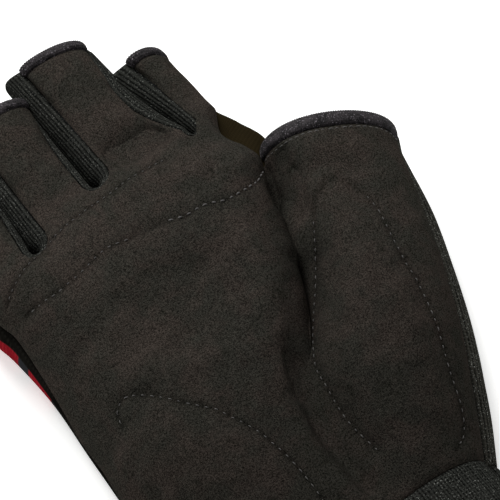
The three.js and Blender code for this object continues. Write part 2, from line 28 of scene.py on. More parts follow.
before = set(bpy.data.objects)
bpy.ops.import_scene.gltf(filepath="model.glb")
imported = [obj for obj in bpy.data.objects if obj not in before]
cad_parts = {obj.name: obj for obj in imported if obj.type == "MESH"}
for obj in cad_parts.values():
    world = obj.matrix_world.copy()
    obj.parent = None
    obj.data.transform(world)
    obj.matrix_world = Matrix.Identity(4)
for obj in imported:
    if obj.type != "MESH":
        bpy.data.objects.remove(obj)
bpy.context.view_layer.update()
metre = 0.001
print("frame loaded,", len(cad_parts), "solids")


# Camera, lights and floor

studio = {
    "azimuth": -37.0,
    "elevation": 62.0,
    "distance": 0.9,
    "target": (0.020, 0.0, 0.022),
    "lens": 246.24,
    "sensor": 36.0,
    "clip": (0.05, 20),
    "lightTarget": (0.02, 0.0, 0.0),
    "lights": [  # name, azimuth, elevation, distance, side and power
        ("keyLight", 172, 36, 1.3, 0.6, 17),
        ("fillLight", -60, 60, 1.4, 0.9, 1.0),
    ],
    "sky": 0.54,
    "floorColour": (0.93, 0.93, 0.92, 1.0),
    "floorGlow": 0.45,  # lightens the soft shadow
    "floorSide": 3.0,
    "floorDrop": 0.0003,  # keeps the floor just clear of the strap
}


def backwards(azimuth, elevation):
    # the unit vector from the object to an eye at that azimuth and elevation
    a, e = np.radians(azimuth), np.radians(elevation)
    return Vector((np.sin(a) * np.cos(e), -np.cos(a) * np.cos(e), np.sin(e)))


def aim(thing, target, azimuth, elevation, distance):
    # puts an object at that distance from its target and turns it there
    away = backwards(azimuth, elevation)
    thing.location = Vector(target) + away * distance
    thing.rotation_mode = "QUATERNION"
    thing.rotation_quaternion = (-away).to_track_quat("-Z", "Y")
    bpy.context.scene.collection.objects.link(thing)


def makeCamera():
    data = bpy.data.cameras.new("photoCamera")
    data.sensor_width = studio["sensor"]
    data.lens = studio["lens"]
    data.clip_start, data.clip_end = studio["clip"]
    eye = bpy.data.objects.new("photoCamera", data)
    aim(eye, studio["target"], studio["azimuth"], studio["elevation"], studio["distance"])
    bpy.context.scene.camera = eye


def makeLight(name, azimuth, elevation, distance, side, power):
    data = bpy.data.lights.new(name, "AREA")
    data.size = side
    data.energy = power
    aim(bpy.data.objects.new(name, data), studio["lightTarget"], azimuth, elevation, distance)


def makeSky():
    world = bpy.data.worlds.new("studioSky")
    bpy.context.scene.world = world
    world.use_nodes = True
    sky = world.node_tree.nodes["Background"]
    sky.inputs["Color"].default_value = (1, 1, 1, 1)
    sky.inputs["Strength"].default_value = studio["sky"]


makeCamera()
makeSky()
for light in studio["lights"]:
    makeLight(*light)
bpy.context.scene.view_settings.view_transform = "Standard"
print("camera and lights made")


# Materials


class Wire:
    # one varying value of a material: arithmetic on it adds Math nodes
    def __init__(self, paint, socket):
        self.paint, self.socket = paint, socket

    def maths(self, operation, first, second):
        return self.paint.node("Math", {"operation": operation}, {0: first, 1: second})

    def __add__(self, other):
        return self.maths("ADD", self, other)

    def __radd__(self, other):
        return self.maths("ADD", other, self)

    def __sub__(self, other):
        return self.maths("SUBTRACT", self, other)

    def __rsub__(self, other):
        return self.maths("SUBTRACT", other, self)

    def __mul__(self, other):
        return self.maths("MULTIPLY", self, other)

    def __rmul__(self, other):
        return self.maths("MULTIPLY", other, self)


class Paint:
    # a material being made round one Principled shader
    def __init__(self, name, **constants):
        self.material = bpy.data.materials.new(name)
        self.material.use_nodes = True
        self.tree = self.material.node_tree
        self.shader = self.tree.nodes["Principled BSDF"]
        for key, value in constants.items():
            self.shader.inputs[key.replace("_", " ")].default_value = value

    def node(self, kind, settings=None, inputs=None, output=0):
        # settings first, and then values or links
        made = self.tree.nodes.new("ShaderNode" + kind)
        for key, value in (settings or {}).items():
            setattr(made, key, value)
        for key, value in (inputs or {}).items():
            if isinstance(value, Wire):
                self.tree.links.new(value.socket, made.inputs[key])
            else:
                made.inputs[key].default_value = value
        return Wire(self, made.outputs[output])

    def place(self):
        return self.node("TexCoord", output="Object")

    def part(self, vector, axis):
        return self.node("SeparateXYZ", inputs={0: vector}, output=axis)

    def sewn(self, axis):
        # along and across the piece's own cloth, in metres, and how near a quilting line is, which paints
        # shade there
        return self.part(self.node("Attribute", {"attribute_name": "sewn"}, output="Vector"), axis)

    def wave(self, value, length, operation="SINE"):
        # a value's wave of that length, from 0 to 1
        return self.node("Math", {"operation": operation}, {0: value * (2 * np.pi / length)}) * 0.5 + 0.5

    def noise(self, vector, size, detail, rough, distortion=0.0):
        # soft noise with blobs of about that size in metres, about 0.5
        inputs = {"Vector": vector, "Scale": 1 / size, "Detail": detail}
        return self.node("TexNoise", {}, inputs | {"Roughness": rough, "Distortion": distortion})

    def limited(self, value, low, high, to0=0.0, to1=1.0):
        # the range from low to high, eased into the range from to0 to to1
        settings = {"interpolation_type": "SMOOTHSTEP"}
        inputs = {0: value, 1: low, 2: high, 3: to0, 4: to1}
        return self.node("MapRange", settings, inputs)

    def between(self, share, first, second):
        # a colour between two colours
        return self.node("Mix", {"data_type": "RGBA"}, {0: share, 6: first, 7: second}, 2)

    def shaded(self, colour, factor):
        # a colour times a number
        return self.node("VectorMath", {"operation": "SCALE"}, {0: colour, "Scale": factor})

    def bump(self, height, distance):
        # a height of 0 to 1, over that many metres
        return self.node("Bump", {}, {"Height": height, "Distance": distance, "Strength": 1.0})

    def feed(self, **links):
        # links what varies to the shader's sockets
        for key, wire in links.items():
            self.tree.links.new(wire.socket, self.shader.inputs[key.replace("_", " ")])
        return self.material


def tint(red, green, blue):
    # a screen colour of 0 to 255, as the shader's linear colour
    c = np.array([red, green, blue]) / 255
    return (*np.where(c <= 0.04045, c / 12.92, ((c + 0.055) / 1.055) ** 2.4), 1.0)


suedeLook = {
    "olive": tint(41, 40, 36),
    "brown": tint(49, 44, 40),
    "dark": tint(26, 26, 22),
    "blotch": 0.012,  # sizes in metres
    "cloud": 0.0045,
    "nap": 0.00045,
    "napDepth": 0.0003,
    "blotchEdge": (0.36, 0.66),  # where the blotches turn from olive to brown
    "cloudEdge": (0.42, 0.3),
    "cloudShare": 0.55,
    "napShade": (0.38, 0.64, 0.3, 2.0),  # from, to, and the two factors
    "roughness": (0.3, 0.7, 0.86, 0.98),
    "wristShade": (-0.065, 0.0, 0.76, 1.0),  # painted shade, darker towards the wrist: from, to, and the two factors
    "crease": 0.4,  # painted shade: how much darker the groove along a quilting line is
}


def suedeFinish():
    # brushed suede: blotches of two browns, a lighter nap, and fine fibres in the bump
    s = suedeLook
    p = Paint("suedeFinish", Specular_IOR_Level=0.0)
    at = p.place()
    blotch = p.limited(p.noise(at, s["blotch"], 4.0, 0.65, 0.5), *s["blotchEdge"])
    cloud = p.noise(at, s["cloud"], 4.0, 0.65, 0.6)
    nap = p.noise(at, s["nap"], 3.0, 0.75)
    fibre = p.noise(at, s["nap"] * 0.5, 2.0, 0.7)
    colour = p.between(blotch, s["olive"], s["brown"])
    colour = p.between(p.limited(cloud, *s["cloudEdge"]) * s["cloudShare"], colour, s["dark"])
    height = 0.6 * nap + 0.4 * fibre
    colour = p.shaded(colour, p.limited(height, *s["napShade"]))
    # painted shade in the grooves of the quilting lines
    colour = p.shaded(colour, 1.0 - s["crease"] * p.sewn(2))
    # painted shade: the suede darker towards the wrist
    colour = p.shaded(colour, p.limited(p.part(at, 1), *s["wristShade"]))
    return p.feed(
        Base_Color=colour,
        Roughness=p.limited(cloud, *s["roughness"]),
        Normal=p.bump(height, s["napDepth"]),
    )


knitLook = {
    "loopLength": 0.00105,  # one loop along the rib
    "loopDepth": 0.00012,
    "webbingPitch": 0.0009,  # of the strap, which has no ribs of its own
    "fuzz": 0.0006,  # sizes in metres
    "cloud": 0.009,
    "glintSize": 0.00035,
    "glintEdge": (0.62, 0.74),
    # the colour of the painted glints
    "paintedGlint": tint(150, 152, 146),
    "light": (0.35, 1.25),  # where the yarn, its painted light and shade included, is darkest and palest
    "roughness": (0.3, 0.7, 0.54, 0.76),
    "yarns": {  # deep and pale colour, share of painted glints, and how far apart the ribs are
        "knit": (tint(3, 3, 3), tint(43, 44, 41), 0.45, 0.00105),
        "outerKnit": (tint(8, 8, 7), tint(56, 55, 50), 0.9, 0.00105),
        # the web's own brown, darkened further as painted shade for the deep shadow between the index finger
        # and the thumb
        "webKnitWithPaintedShade": (tint(25, 21, 12), tint(37, 31, 19), 0.0, 0.00105),
        "elastic": (tint(12, 12, 13), tint(46, 46, 48), 0.0, 0.0012),
        "strap": (tint(20, 20, 21), tint(52, 52, 54), 0.0, None),
    },
}


def knitFinish(name):
    # a rib knit: loops in rows along each rib, with painted light on the rib's crest and painted shade
    # between the loops
    k = knitLook
    deep, pale, glint, ribPitch = k["yarns"][name]
    p = Paint(name + "Finish", Specular_IOR_Level=0.0)
    at = p.place()
    apart, across = (p.part(at, 1), p.part(at, 0)) if ribPitch is None else (p.sewn(0), p.sewn(1))
    loop = p.wave(apart, k["loopLength"])
    rib = 1.0 - p.wave(across, ribPitch or k["webbingPitch"], "COSINE")
    fuzz = p.noise(at, k["fuzz"], 3.0, 0.7)
    cloud = p.noise(at, k["cloud"], 2.0, 0.5)
    # the rib and loop terms are painted light and shade; fuzz and cloud are the yarn's own uneven tone
    light = 0.4 * rib + 0.2 * loop + 0.8 * fuzz + 0.3 * cloud
    colour = p.between(p.limited(light, *k["light"]), deep, pale)
    # painted glints: small pale highlights on the yarn
    paintedGlint = p.limited(p.noise(at, k["glintSize"], 1.0, 0.6), *k["glintEdge"])
    colour = p.between(paintedGlint * glint, colour, k["paintedGlint"])
    height = 0.5 * loop * rib + 0.3 * fuzz + (0.0 if ribPitch else 0.5) * rib
    return p.feed(
        Base_Color=colour,
        Roughness=p.limited(fuzz, *k["roughness"]),
        Normal=p.bump(height, k["loopDepth"]),
    )


blockLook = {  # plain blocks of a second colour, in metres along the hand
    "red": tint(150, 34, 42),
    "redDeep": tint(112, 20, 28),
    "lower": (0.0028, 0.0125),
    "upper": (0.0168, 0.036),
    "greyBand": (-0.0052, 0.036),
    "soft": 0.0003,
    "sideHeight": (0.0032, 0.0038),  # how far down from the palm's seam the blocks begin
    "backEdge": (-0.0165, -0.0171),
    "grey": tint(40, 41, 43),
    "stitch": 0.0011,
    "depth": 0.00018,
    "backYarn": (tint(18, 18, 19), tint(46, 47, 49)),
    "sideYarn": (tint(14, 13, 11), tint(30, 29, 26)),
    "light": (0.3, 0.85),
    "roughness": (0.3, 0.7, 0.6, 0.82),
}


def banded(p, value, low, high, soft):
    # 1 between two places, with a soft edge
    return p.limited(value, low - soft, low + soft) * p.limited(value, high + soft, high - soft)


def blockFinish(name, isBack):
    # fine knit, dark, with plain red blocks: a side's lower half, or a single block on the back
    b = blockLook
    p = Paint(name, Specular_IOR_Level=0.0)
    at = p.place()
    x, y = p.part(at, 0), p.part(at, 1)
    fuzz = p.noise(at, knitLook["fuzz"], 3.0, 0.7)
    cloud = p.noise(at, knitLook["cloud"], 2.0, 0.5)
    loops = p.wave(x, b["stitch"]) * p.wave(y, b["stitch"])
    light = p.limited(0.5 * fuzz + 0.4 * cloud + 0.25 * loops, *b["light"])
    plain = p.between(light, *b["backYarn" if isBack else "sideYarn"])
    if isBack:
        mask = banded(p, y, b["lower"][0], b["upper"][1], b["soft"]) * p.limited(x, *b["backEdge"])
    else:
        isLow = p.limited(p.sewn(1), *b["sideHeight"])
        rows = banded(p, y, *b["lower"], b["soft"]) + banded(p, y, *b["upper"], b["soft"])
        mask = rows * isLow
        plain = p.between(banded(p, y, *b["greyBand"], b["soft"]) * isLow, plain, b["grey"])
    red = p.between(light, b["redDeep"], b["red"])
    return p.feed(
        Base_Color=p.between(mask, plain, red),
        Roughness=p.limited(fuzz, *b["roughness"]),
        Normal=p.bump(0.5 * loops + 0.4 * fuzz, b["depth"]),
    )


tapeLook = {
    "deep": tint(10, 9, 10),
    "pale": tint(48, 44, 46),
    "glint": tint(150, 143, 150),
    "grain": 0.0008,  # sizes in metres
    "cloud": 0.003,
    "cell": 0.0004,
    "patch": 0.0007,
    "depth": 0.00025,
    "glintShare": 0.7,
    "cellEdge": (0.45, 0.15),
    "patchEdge": (0.5, 0.64),
    "light": (0.45, 0.78),
}


def tapeFinish():
    # a folded tape of twisted yarn, with small pale glints
    t = tapeLook
    p = Paint("tapeFinish", Specular_IOR_Level=0.15)
    at = p.place()
    yarn = p.noise(at, t["grain"], 3.0, 0.7)
    cloud = p.noise(at, t["cloud"], 2.0, 0.5)
    cells = p.node("TexVoronoi", {}, {"Vector": at, "Scale": 1 / t["cell"]}, "Distance")
    picked = p.limited(p.noise(at, t["patch"], 2.0, 0.7), *t["patchEdge"])
    glint = p.limited(cells, *t["cellEdge"]) * picked
    colour = p.between(p.limited(yarn * 0.7 + cloud * 0.5, *t["light"]), t["deep"], t["pale"])
    colour = p.between(glint * t["glintShare"], colour, t["glint"])
    return p.feed(
        Base_Color=colour,
        Roughness=0.72 - 0.35 * glint,
        Normal=p.bump(yarn * 0.6 + cells * 0.4, t["depth"]),
    )


threadLook = {"pale": tint(98, 96, 94), "deep": tint(20, 19, 19), "twist": 0.00025}


def threadFinish():
    # twisted sewing thread
    p = Paint("threadFinish", Specular_IOR_Level=0.4)
    twist = p.noise(p.place(), threadLook["twist"], 2.0, 0.6)
    colour = p.between(twist, threadLook["pale"], threadLook["deep"])
    return p.feed(
        Base_Color=p.shaded(colour, 1.0 + 0.4 * twist),
        Roughness=p.limited(twist, 0.3, 0.7, 0.55, 0.8),
    )


def makeFloor():
    p = Paint("floorFinish", Specular_IOR_Level=0.2, Roughness=0.9)
    p.shader.inputs["Base Color"].default_value = studio["floorColour"]
    p.shader.inputs["Emission Color"].default_value = studio["floorColour"]
    p.shader.inputs["Emission Strength"].default_value = studio["floorGlow"]
    half, z = studio["floorSide"] / 2, -studio["floorDrop"]
    mesh = bpy.data.meshes.new("floor")
    corners = [(-half, -half, z), (half, -half, z), (half, half, z), (-half, half, z)]
    mesh.from_pydata(corners, [], [(0, 1, 2, 3)])
    mesh.materials.append(p.material)
    floor = bpy.data.objects.new("floor", mesh)
    bpy.context.scene.collection.objects.link(floor)


suede = suedeFinish()
knit, outerKnit = knitFinish("knit"), knitFinish("outerKnit")
webKnitWithPaintedShade, elastic = knitFinish("webKnitWithPaintedShade"), knitFinish("elastic")
backKnit = blockFinish("backKnitFinish", True)
blockKnit = blockFinish("sideKnitFinish", False)
tape = tapeFinish()
thread = threadFinish()
makeFloor()
print("materials made")


# The cut of the glove: the solids' sizes and tables, changed where the cloth hangs otherwise

cut = {
    "palmWidth": 90,
    "palmLength": 120,
    "palmHeight": 33,
    "originShare": 0.683,
    "fingerLength": 44,
    "fingerWidth": 22,
    "fingerHeight": 21,
    "thumbWidth": 36.5,
    "thumbStub": 6.4,
    "thumbAngle": np.radians(29),
    "cuffLength": 14,
    "hemWidth": 3.5,
    "bindingWidth": 4.2,
    "fingerTape": 3.0,  # the part of a finger's binding that shows
    "strapRoom": 2.2,  # the strap's thickness and its clearance
    "strapStation": 1,
    "strapFade": 3,  # the palm's back comes down to the floor within this many stations
    "webStation": 7,  # the thumb and the palm part here
    "baseStation": 9,  # and here the fingers start
    "crotchDip": 3.8,
    "dipStations": 1.5,
    "backDip": 0.45,
    "gussetLean": 1.8,
    "backGap": 1.0,  # the gussets close to this much at the back
    "gussetBulge": 1.3,
    "gussetSwell": 2.4,  # the same on the thumb's side of each gap, which shows
    "webBulge": 0.3,
    "leanShare": 0.8,
    "swellSkew": 0.75,  # under 1 moves a side's swelling up to the palm
    "fingerFade": 5,  # pads fade out over one part in this many at a finger's edge
    "thumbFade": 9,
    "tuckRows": 3,
    "scallop": 1.0,
    "scallopStation": 6,
    "roundEdge": 0.5,
    "rimOverhang": 2.2,
    "suedeWall": 1.8,
    "knitWall": 1.2,
    "bindingWall": 2.2,
    "cuffWall": 1.8,
    "hemWall": 2.6,
    "tapeProud": 0.5,
    "ground": 0.02,  # nothing lies lower
    "seamGap": 0.12,
    "seamReach": 4.0,  # farther than this from a seam counts as this far
    "wallSlant": 0.7,
}
fine = {  # quads along and across each stretch, where the solids have one row or column
    "perStation": 16,
    "perFinger": 40,
    "perGap": 12,
    "perThumb": 72,
    "fingerRows": 48,
    "rimRows": 8,
    "stubRows": 3,
    "cuffRows": 14,
    "hemRows": 6,
    "step": 8,  # fine steps in one step of the solids
    "rimStep": 4,
    "seamRings": 10,
    "evenings": 24,
    "perKnot": 40,
    "perBlock": 40,  # points of a line that are measured to at one time
}


def table(columns, rows):
    return dict(zip(columns.split(), np.array(rows, float).T))


# Shares of palmWidth (x, roll, backX, bulge), palmLength (y, backY) and palmHeight (z, crown).
ulnarEdge = table("x y z roll crown backX bulge", [
    [-0.41, 0.0, 0.24, 0.34, 0.82, 0.05, 0.03],
    [-0.467, 0.15, 0.2, 0.3, 0.9, 0.06, 0.015],
    [-0.494, 0.283, 0.16, 0.28, 0.95, 0.06, 0.01],
    [-0.505, 0.383, 0.13, 0.27, 0.97, 0.06, 0.005],
    [-0.497, 0.483, 0.13, 0.26, 0.985, 0.05, 0.005],
    [-0.492, 0.583, 0.14, 0.26, 1.0, 0.04, 0.0],
    [-0.476, 0.708, 0.25, 0.26, 1.0, 0.02, 0.008],
    [-0.47, 0.833, 0.38, 0.25, 0.955, 0.0, 0.02],
    [-0.484, 0.883, 0.41, 0.24, 0.9, 0.01, 0.022],
    [-0.496, 0.93, 0.42, 0.22, 0.79, 0.02, 0.022],
])
creaseLine = table("x y z roll sharp thumbRoll thumbSharp backX backY", [
    [0.03, 0.0, 0.8, 0.15, 1.9, 0.15, 1.9, 0, 0],
    [0.048, 0.17, 0.77, 0.17, 1.8, 0.17, 1.8, 0, 0],
    [0.067, 0.275, 0.765, 0.19, 1.5, 0.19, 1.6, 0, 0],
    [0.117, 0.363, 0.76, 0.175, 1.3, 0.2, 1.3, 0, 0],
    [0.206, 0.446, 0.665, 0.165, 0.95, 0.19, 1.05, 0.01, 0],
    [0.294, 0.558, 0.48, 0.155, 0.56, 0.18, 0.85, 0.03, 0.01],
    [0.359, 0.7, 0.44, 0.17, 0.46, 0.17, 0.68, 0.07, 0.03],
    [0.447, 0.855, 0.46, 0.18, 0.45, 0.17, 0.55, 0.118, 0.08],
    [0.407, 0.962, 0.44, 0.2, 0.45, 0.17, 0.5, 0.132, 0.08],
    [0.464, 1.05, 0.3, 0.2, 0.5, 0.17, 0.5, 0.03, 0.05],
])
radialEdge = table("x y z roll crown backX bulge", [
    [0.38, 0.0, 0.3, 0.28, 0.82, 0.04, 0.045],
    [0.458, 0.1, 0.34, 0.24, 0.9, 0.03, 0.05],
    [0.518, 0.183, 0.38, 0.22, 0.95, 0.02, 0.05],
    [0.56, 0.242, 0.41, 0.21, 0.97, 0.015, 0.05],
    [0.613, 0.325, 0.43, 0.2, 0.96, 0.01, 0.05],
    [0.676, 0.433, 0.45, 0.19, 0.94, 0.005, 0.045],
    [0.745, 0.575, 0.46, 0.18, 0.91, 0.01, 0.045],
    [0.813, 0.717, 0.43, 0.18, 0.88, 0.03, 0.02],
])
fingerNames = ["little", "ring", "middle", "index"]
fingers = table(
    "x reach width slant leftZ rightZ crown leftRoll rightRoll backLift leftBack rightBack "
    "leftBulge rightBulge waist",
    [
        [-0.36, 0.47, 0.84, 0.02, 0.57, 0.62, 0.86, 0.5, 0.5, 0.1, 0.13, -0.06, 0.04, 0.06, 0.0],
        [-0.091, 0.88, 0.83, -0.07, 0.62, 0.66, 1.0, 0.5, 0.5, 0.08, -0.06, 0.0, 0.13, 0.0, 0.03],
        [0.16, 1.018, 0.86, -0.145, 0.79, 0.7, 1.0, 0.5, 0.5, 0.08, -0.08, 0.0, 0.17, 0.05, 0.2],
        [0.393, 0.68, 0.54, -0.1, 0.83, 0.32, 0.96, 0.3, 0.7, 0.08, -0.04, 0.1, 0.27, 0.02, 0.0],
    ],
)
crotches = np.array([[-0.277, 0.975], [-0.007, 1.03], [0.324, 1.012]])
crotchGaps = np.array([8.2, 8.6, 5.4])  # the three gaps' widths in millimetres
waist = {"skew": 0.85, "sharp": 1.2, "dip": 0.25, "swell": 0.38}
thumbRim = {"leftZ": 0.36, "rightZ": 0.42, "crown": 0.865, "roll": 0.2, "backLift": 0.09}
thumbBack = {"leftX": 0.095, "leftY": 0.075, "rightX": -0.03, "rightY": 0.02}
# Soft-edged ovals: place and half sizes as shares of palmWidth, turn in degrees, raise in millimetres.
reliefs = [
    [0.31, -0.43, 0.5, 0.19, -21, 1.5],  # thumb pad
    [-0.3, -0.58, 0.36, 0.2, 20, 1.3],  # heel pad
    [-0.03, 0.2, 0.2, 0.44, 3, 0.8],  # knuckle pad
    [-0.05, -0.08, 0.2, 0.26, 0, -1.6],  # hollow of the palm
    [0.17, 0.47, 0.12, 0.13, 10, -1.2],  # crease at the root of the middle finger
    [-0.16, 0.47, 0.12, 0.1, 0, -0.6],  # and of the ring finger
]


def mix(a, b, t):
    return a + (b - a) * t


def clip(v):
    return np.clip(v, 0, 1)


def ease(v):
    t = clip(v)
    return t * t * (3 - 2 * t)


def spread(u):
    return (1 - np.cos(np.pi * u)) / 2  # even columns, closer near both edges


def unspread(t):
    return np.arccos(1 - 2 * t) / np.pi


def catmull(rows, at):
    # a smooth curve through an array's rows, at any places along it
    last = len(rows) - 1
    i = np.clip(np.floor(at).astype(int), 0, last - 1)
    t = (at - i).reshape(at.shape + (1,) * (rows.ndim - 1))
    p, q, r, s = rows[np.maximum(i - 1, 0)], rows[i], rows[i + 1], rows[np.minimum(i + 2, last)]
    return q + 0.5 * t * (r - p + t * (2 * p - 5 * q + 4 * r - s + t * (3 * (q - r) + s - p)))


def sample(rows, at):
    return {key: catmull(values, at) for key, values in rows.items()}


def rise(distance, roll, sharp):
    # share of the full height that is reached at a distance from an edge
    q = clip(distance / roll)
    return (q * (2 - q)) ** sharp


def archHeight(width, share, crown, z0, roll0, sharp0, z1, roll1, sharp1):
    # height over a row between two edges, the first at z0 and the second at z1
    first = rise(share * width, roll0, sharp0)
    second = rise((1 - share) * width, roll1, sharp1)
    return crown - (crown - z0) * (1 - first) - (crown - z1) * (1 - second)


def relief(x, y):
    height = np.zeros_like(x)
    for px, py, halfLength, halfWidth, turn, raiseBy in reliefs:
        a = np.radians(turn)
        dx, dy = x / cut["palmWidth"] - px, y / cut["palmWidth"] - py
        along = (dy * np.cos(a) - dx * np.sin(a)) / halfLength
        across = (dx * np.cos(a) + dy * np.sin(a)) / halfWidth
        q = np.minimum(along**2 + across**2, 1)
        height += raiseBy * (1 - q * q) ** 2
    return height


def rowsAt(at, isBack):
    # the three edge points of each row across the hand, and the shape between them
    at = np.asarray(at, float)
    down, on = np.maximum(-at, 0), np.maximum(at, 0)
    u, c = sample(ulnarEdge, on), sample(creaseLine, on)
    r = sample(radialEdge, np.minimum(on, cut["webStation"]))
    inset = 1 if isBack else 0
    wide, long, high = cut["palmWidth"], cut["palmLength"], cut["palmHeight"]

    def spot(x, y):
        return np.stack([x * wide, (y - cut["originShare"]) * long - down], -1)

    return {
        "ulnar": spot(u["x"] + inset * u["backX"], u["y"]),
        "crease": spot(c["x"] + inset * c["backX"], c["y"] + inset * c["backY"]),
        "radial": spot(r["x"] - inset * r["backX"], r["y"]),
        "ulnarZ": u["z"] * high,
        "creaseZ": c["z"] * high,
        "radialZ": r["z"] * high,
        "crown": u["crown"] * high,
        "thumbCrown": r["crown"] * high,
        "ulnarRoll": u["roll"] * wide,
        "creaseRoll": c["roll"] * wide,
        "thumbRoll": c["thumbRoll"] * wide,
        "radialRoll": r["roll"] * wide,
        "sharp": c["sharp"],
        "thumbSharp": c["thumbSharp"],
        "lift": cut["strapRoom"] * (1 - ease((at - cut["strapStation"]) / cut["strapFade"])),
    }


# Stations of the rows: the hem and the cuff in millimetres below the seam, then the palm.
stations = np.concatenate([
    np.linspace(-(cut["cuffLength"] + cut["hemWidth"]), -cut["cuffLength"], fine["hemRows"] + 1)[:-1],
    np.linspace(-cut["cuffLength"], 0, fine["cuffRows"] + 1)[:-1],
    np.linspace(0, cut["baseStation"], cut["baseStation"] * fine["perStation"] + 1),
])
hemEnd = fine["hemRows"]
cuffEnd = hemEnd + fine["cuffRows"]
webRow = cuffEnd + cut["webStation"] * fine["perStation"]
stubSeam = 1 - cut["bindingWidth"] / cut["thumbStub"]
stubShares = np.concatenate([
    np.linspace(0, stubSeam, fine["stubRows"] + 1)[1:],
    np.linspace(stubSeam, 1, fine["rimRows"] + 1)[1:],
])
stubEnd = webRow + len(stubShares)
thumbStations = np.concatenate([stations[: webRow + 1], np.full(len(stubShares), cut["webStation"])])

pool = []


def addPoints(places):
    # keeps the points and gives a grid of their numbers
    start = sum(len(p) for p in pool)
    flat = places.reshape(-1, 3)
    pool.append(flat)
    return start + np.arange(len(flat)).reshape(places.shape[:-1])


def palmColumns(isBack):
    # the columns' shares of the width, the finger each leads to, and the place within it
    base = rowsAt(cut["baseStation"], isBack)
    half = (cut["backGap"] if isBack else crotchGaps) / 2
    x0, x1 = base["ulnar"][0], base["crease"][0]
    knots = crotches[:, 0] * cut["palmWidth"]
    edges = np.concatenate([[0], (np.stack([knots - half, knots + half], 1).ravel() - x0) / (x1 - x0), [1]])
    share, finger, within = [np.zeros(1)], [np.zeros(1)], [np.zeros(1)]
    for k in range(len(edges) - 1):
        isGap = k % 2 == 1
        count = fine["perGap"] if isGap else fine["perFinger"]
        w = np.arange(1, count + 1) / count
        evened = spread(mix(unspread(edges[k]), unspread(edges[k + 1]), w))
        share.append(mix(edges[k], edges[k + 1], w) if isBack else evened)
        finger.append(np.full(count, -1 if isGap else k / 2))
        within.append(w)
    return np.concatenate(share), np.concatenate(finger), np.concatenate(within)


def crotchRise(share, isBack):
    # how far the row of crotches lies above the straight line from edge to edge
    base = rowsAt(cut["baseStation"], isBack)
    (x0, y0), (x1, y1) = base["ulnar"], base["crease"]
    at = (crotches[:, 0] * cut["palmWidth"] - x0) / (x1 - x0)
    y = (crotches[:, 1] - cut["originShare"]) * cut["palmLength"] + (cut["gussetLean"] if isBack else 0)
    knotAt = np.concatenate([[0], at, [1]])
    knotRise = np.concatenate([[0], y - mix(y0, y1, at), [0]])
    i = np.clip(np.searchsorted(knotAt, share), 1, len(knotAt) - 1) - 1
    return mix(knotRise[i], knotRise[i + 1], ease((share - knotAt[i]) / (knotAt[i + 1] - knotAt[i])))


def palmGrid(isBack):
    # rows along the stations and columns across: an arch between the edges, with pads and crotches
    share, finger, within = palmColumns(isBack)
    row = rowsAt(stations, isBack)
    at = stations[:, None]
    near = ease((at - cut["scallopStation"]) / (cut["baseStation"] - cut["scallopStation"]))
    place = mix(row["ulnar"][:, None], row["crease"][:, None], share[:, None])
    x, y = place[..., 0], place[..., 1] + near * crotchRise(share, isBack)
    inGap = finger < 0
    bowl = np.sqrt(np.clip(1 - (2 * within - 1) ** 2, 0, 1)) * inGap
    last = clip((at - cut["baseStation"]) / cut["dipStations"] + 1) ** 2
    y = y - bowl * last * cut["crotchDip"] * (cut["backDip"] if isBack else 1)
    if isBack:
        z = np.broadcast_to(row["lift"][:, None], x.shape)
        return np.stack([x, y, z], -1)
    span = np.linalg.norm(row["crease"] - row["ulnar"], axis=-1)[:, None]
    c = {key: row[key][:, None] for key in ("crown", "ulnarZ", "ulnarRoll", "creaseZ", "creaseRoll", "sharp")}
    z = archHeight(
        span, share, c["crown"], c["ulnarZ"], c["ulnarRoll"], cut["roundEdge"],
        c["creaseZ"], c["creaseRoll"], c["sharp"],
    )
    outer = ((finger == 0) & (within < 0.5)) | ((finger == 3) & (within > 0.5))
    dip = np.where(inGap, 1, 1 - np.sin(np.pi * within))
    soft = cut["fingerFade"]
    fade = np.where(finger == 0, ease(within * soft), np.where(finger == 3, ease((1 - within) * soft), 1))
    z = z - np.where(outer, 0, near * cut["scallop"] * dip) + fade * ease(at / 0.5) * relief(x, y)
    return np.stack([x, y, z], -1)


def rimOfThumb(isBack):
    web = rowsAt(cut["webStation"], False)
    middle = mix(web["crease"], web["radial"], 0.5)
    along = np.array([np.sin(cut["thumbAngle"]), np.cos(cut["thumbAngle"])])
    across = np.array([along[1], -along[0]])
    centre = middle + along * cut["thumbStub"]
    half = cut["thumbWidth"] / 2
    shift = cut["palmWidth"] if isBack else 0
    high = cut["palmHeight"]
    return {
        "crease": centre - across * half + shift * np.array([thumbBack["leftX"], thumbBack["leftY"]]),
        "radial": centre + across * half + shift * np.array([thumbBack["rightX"], thumbBack["rightY"]]),
        "creaseZ": thumbRim["leftZ"] * high,
        "radialZ": thumbRim["rightZ"] * high,
        "thumbCrown": thumbRim["crown"] * high,
        "radialRoll": thumbRim["roll"] * cut["palmWidth"],
        "thumbRoll": thumbRim["roll"] * cut["palmWidth"],
        "thumbSharp": cut["roundEdge"],
        "lift": thumbRim["backLift"] * high,
    }


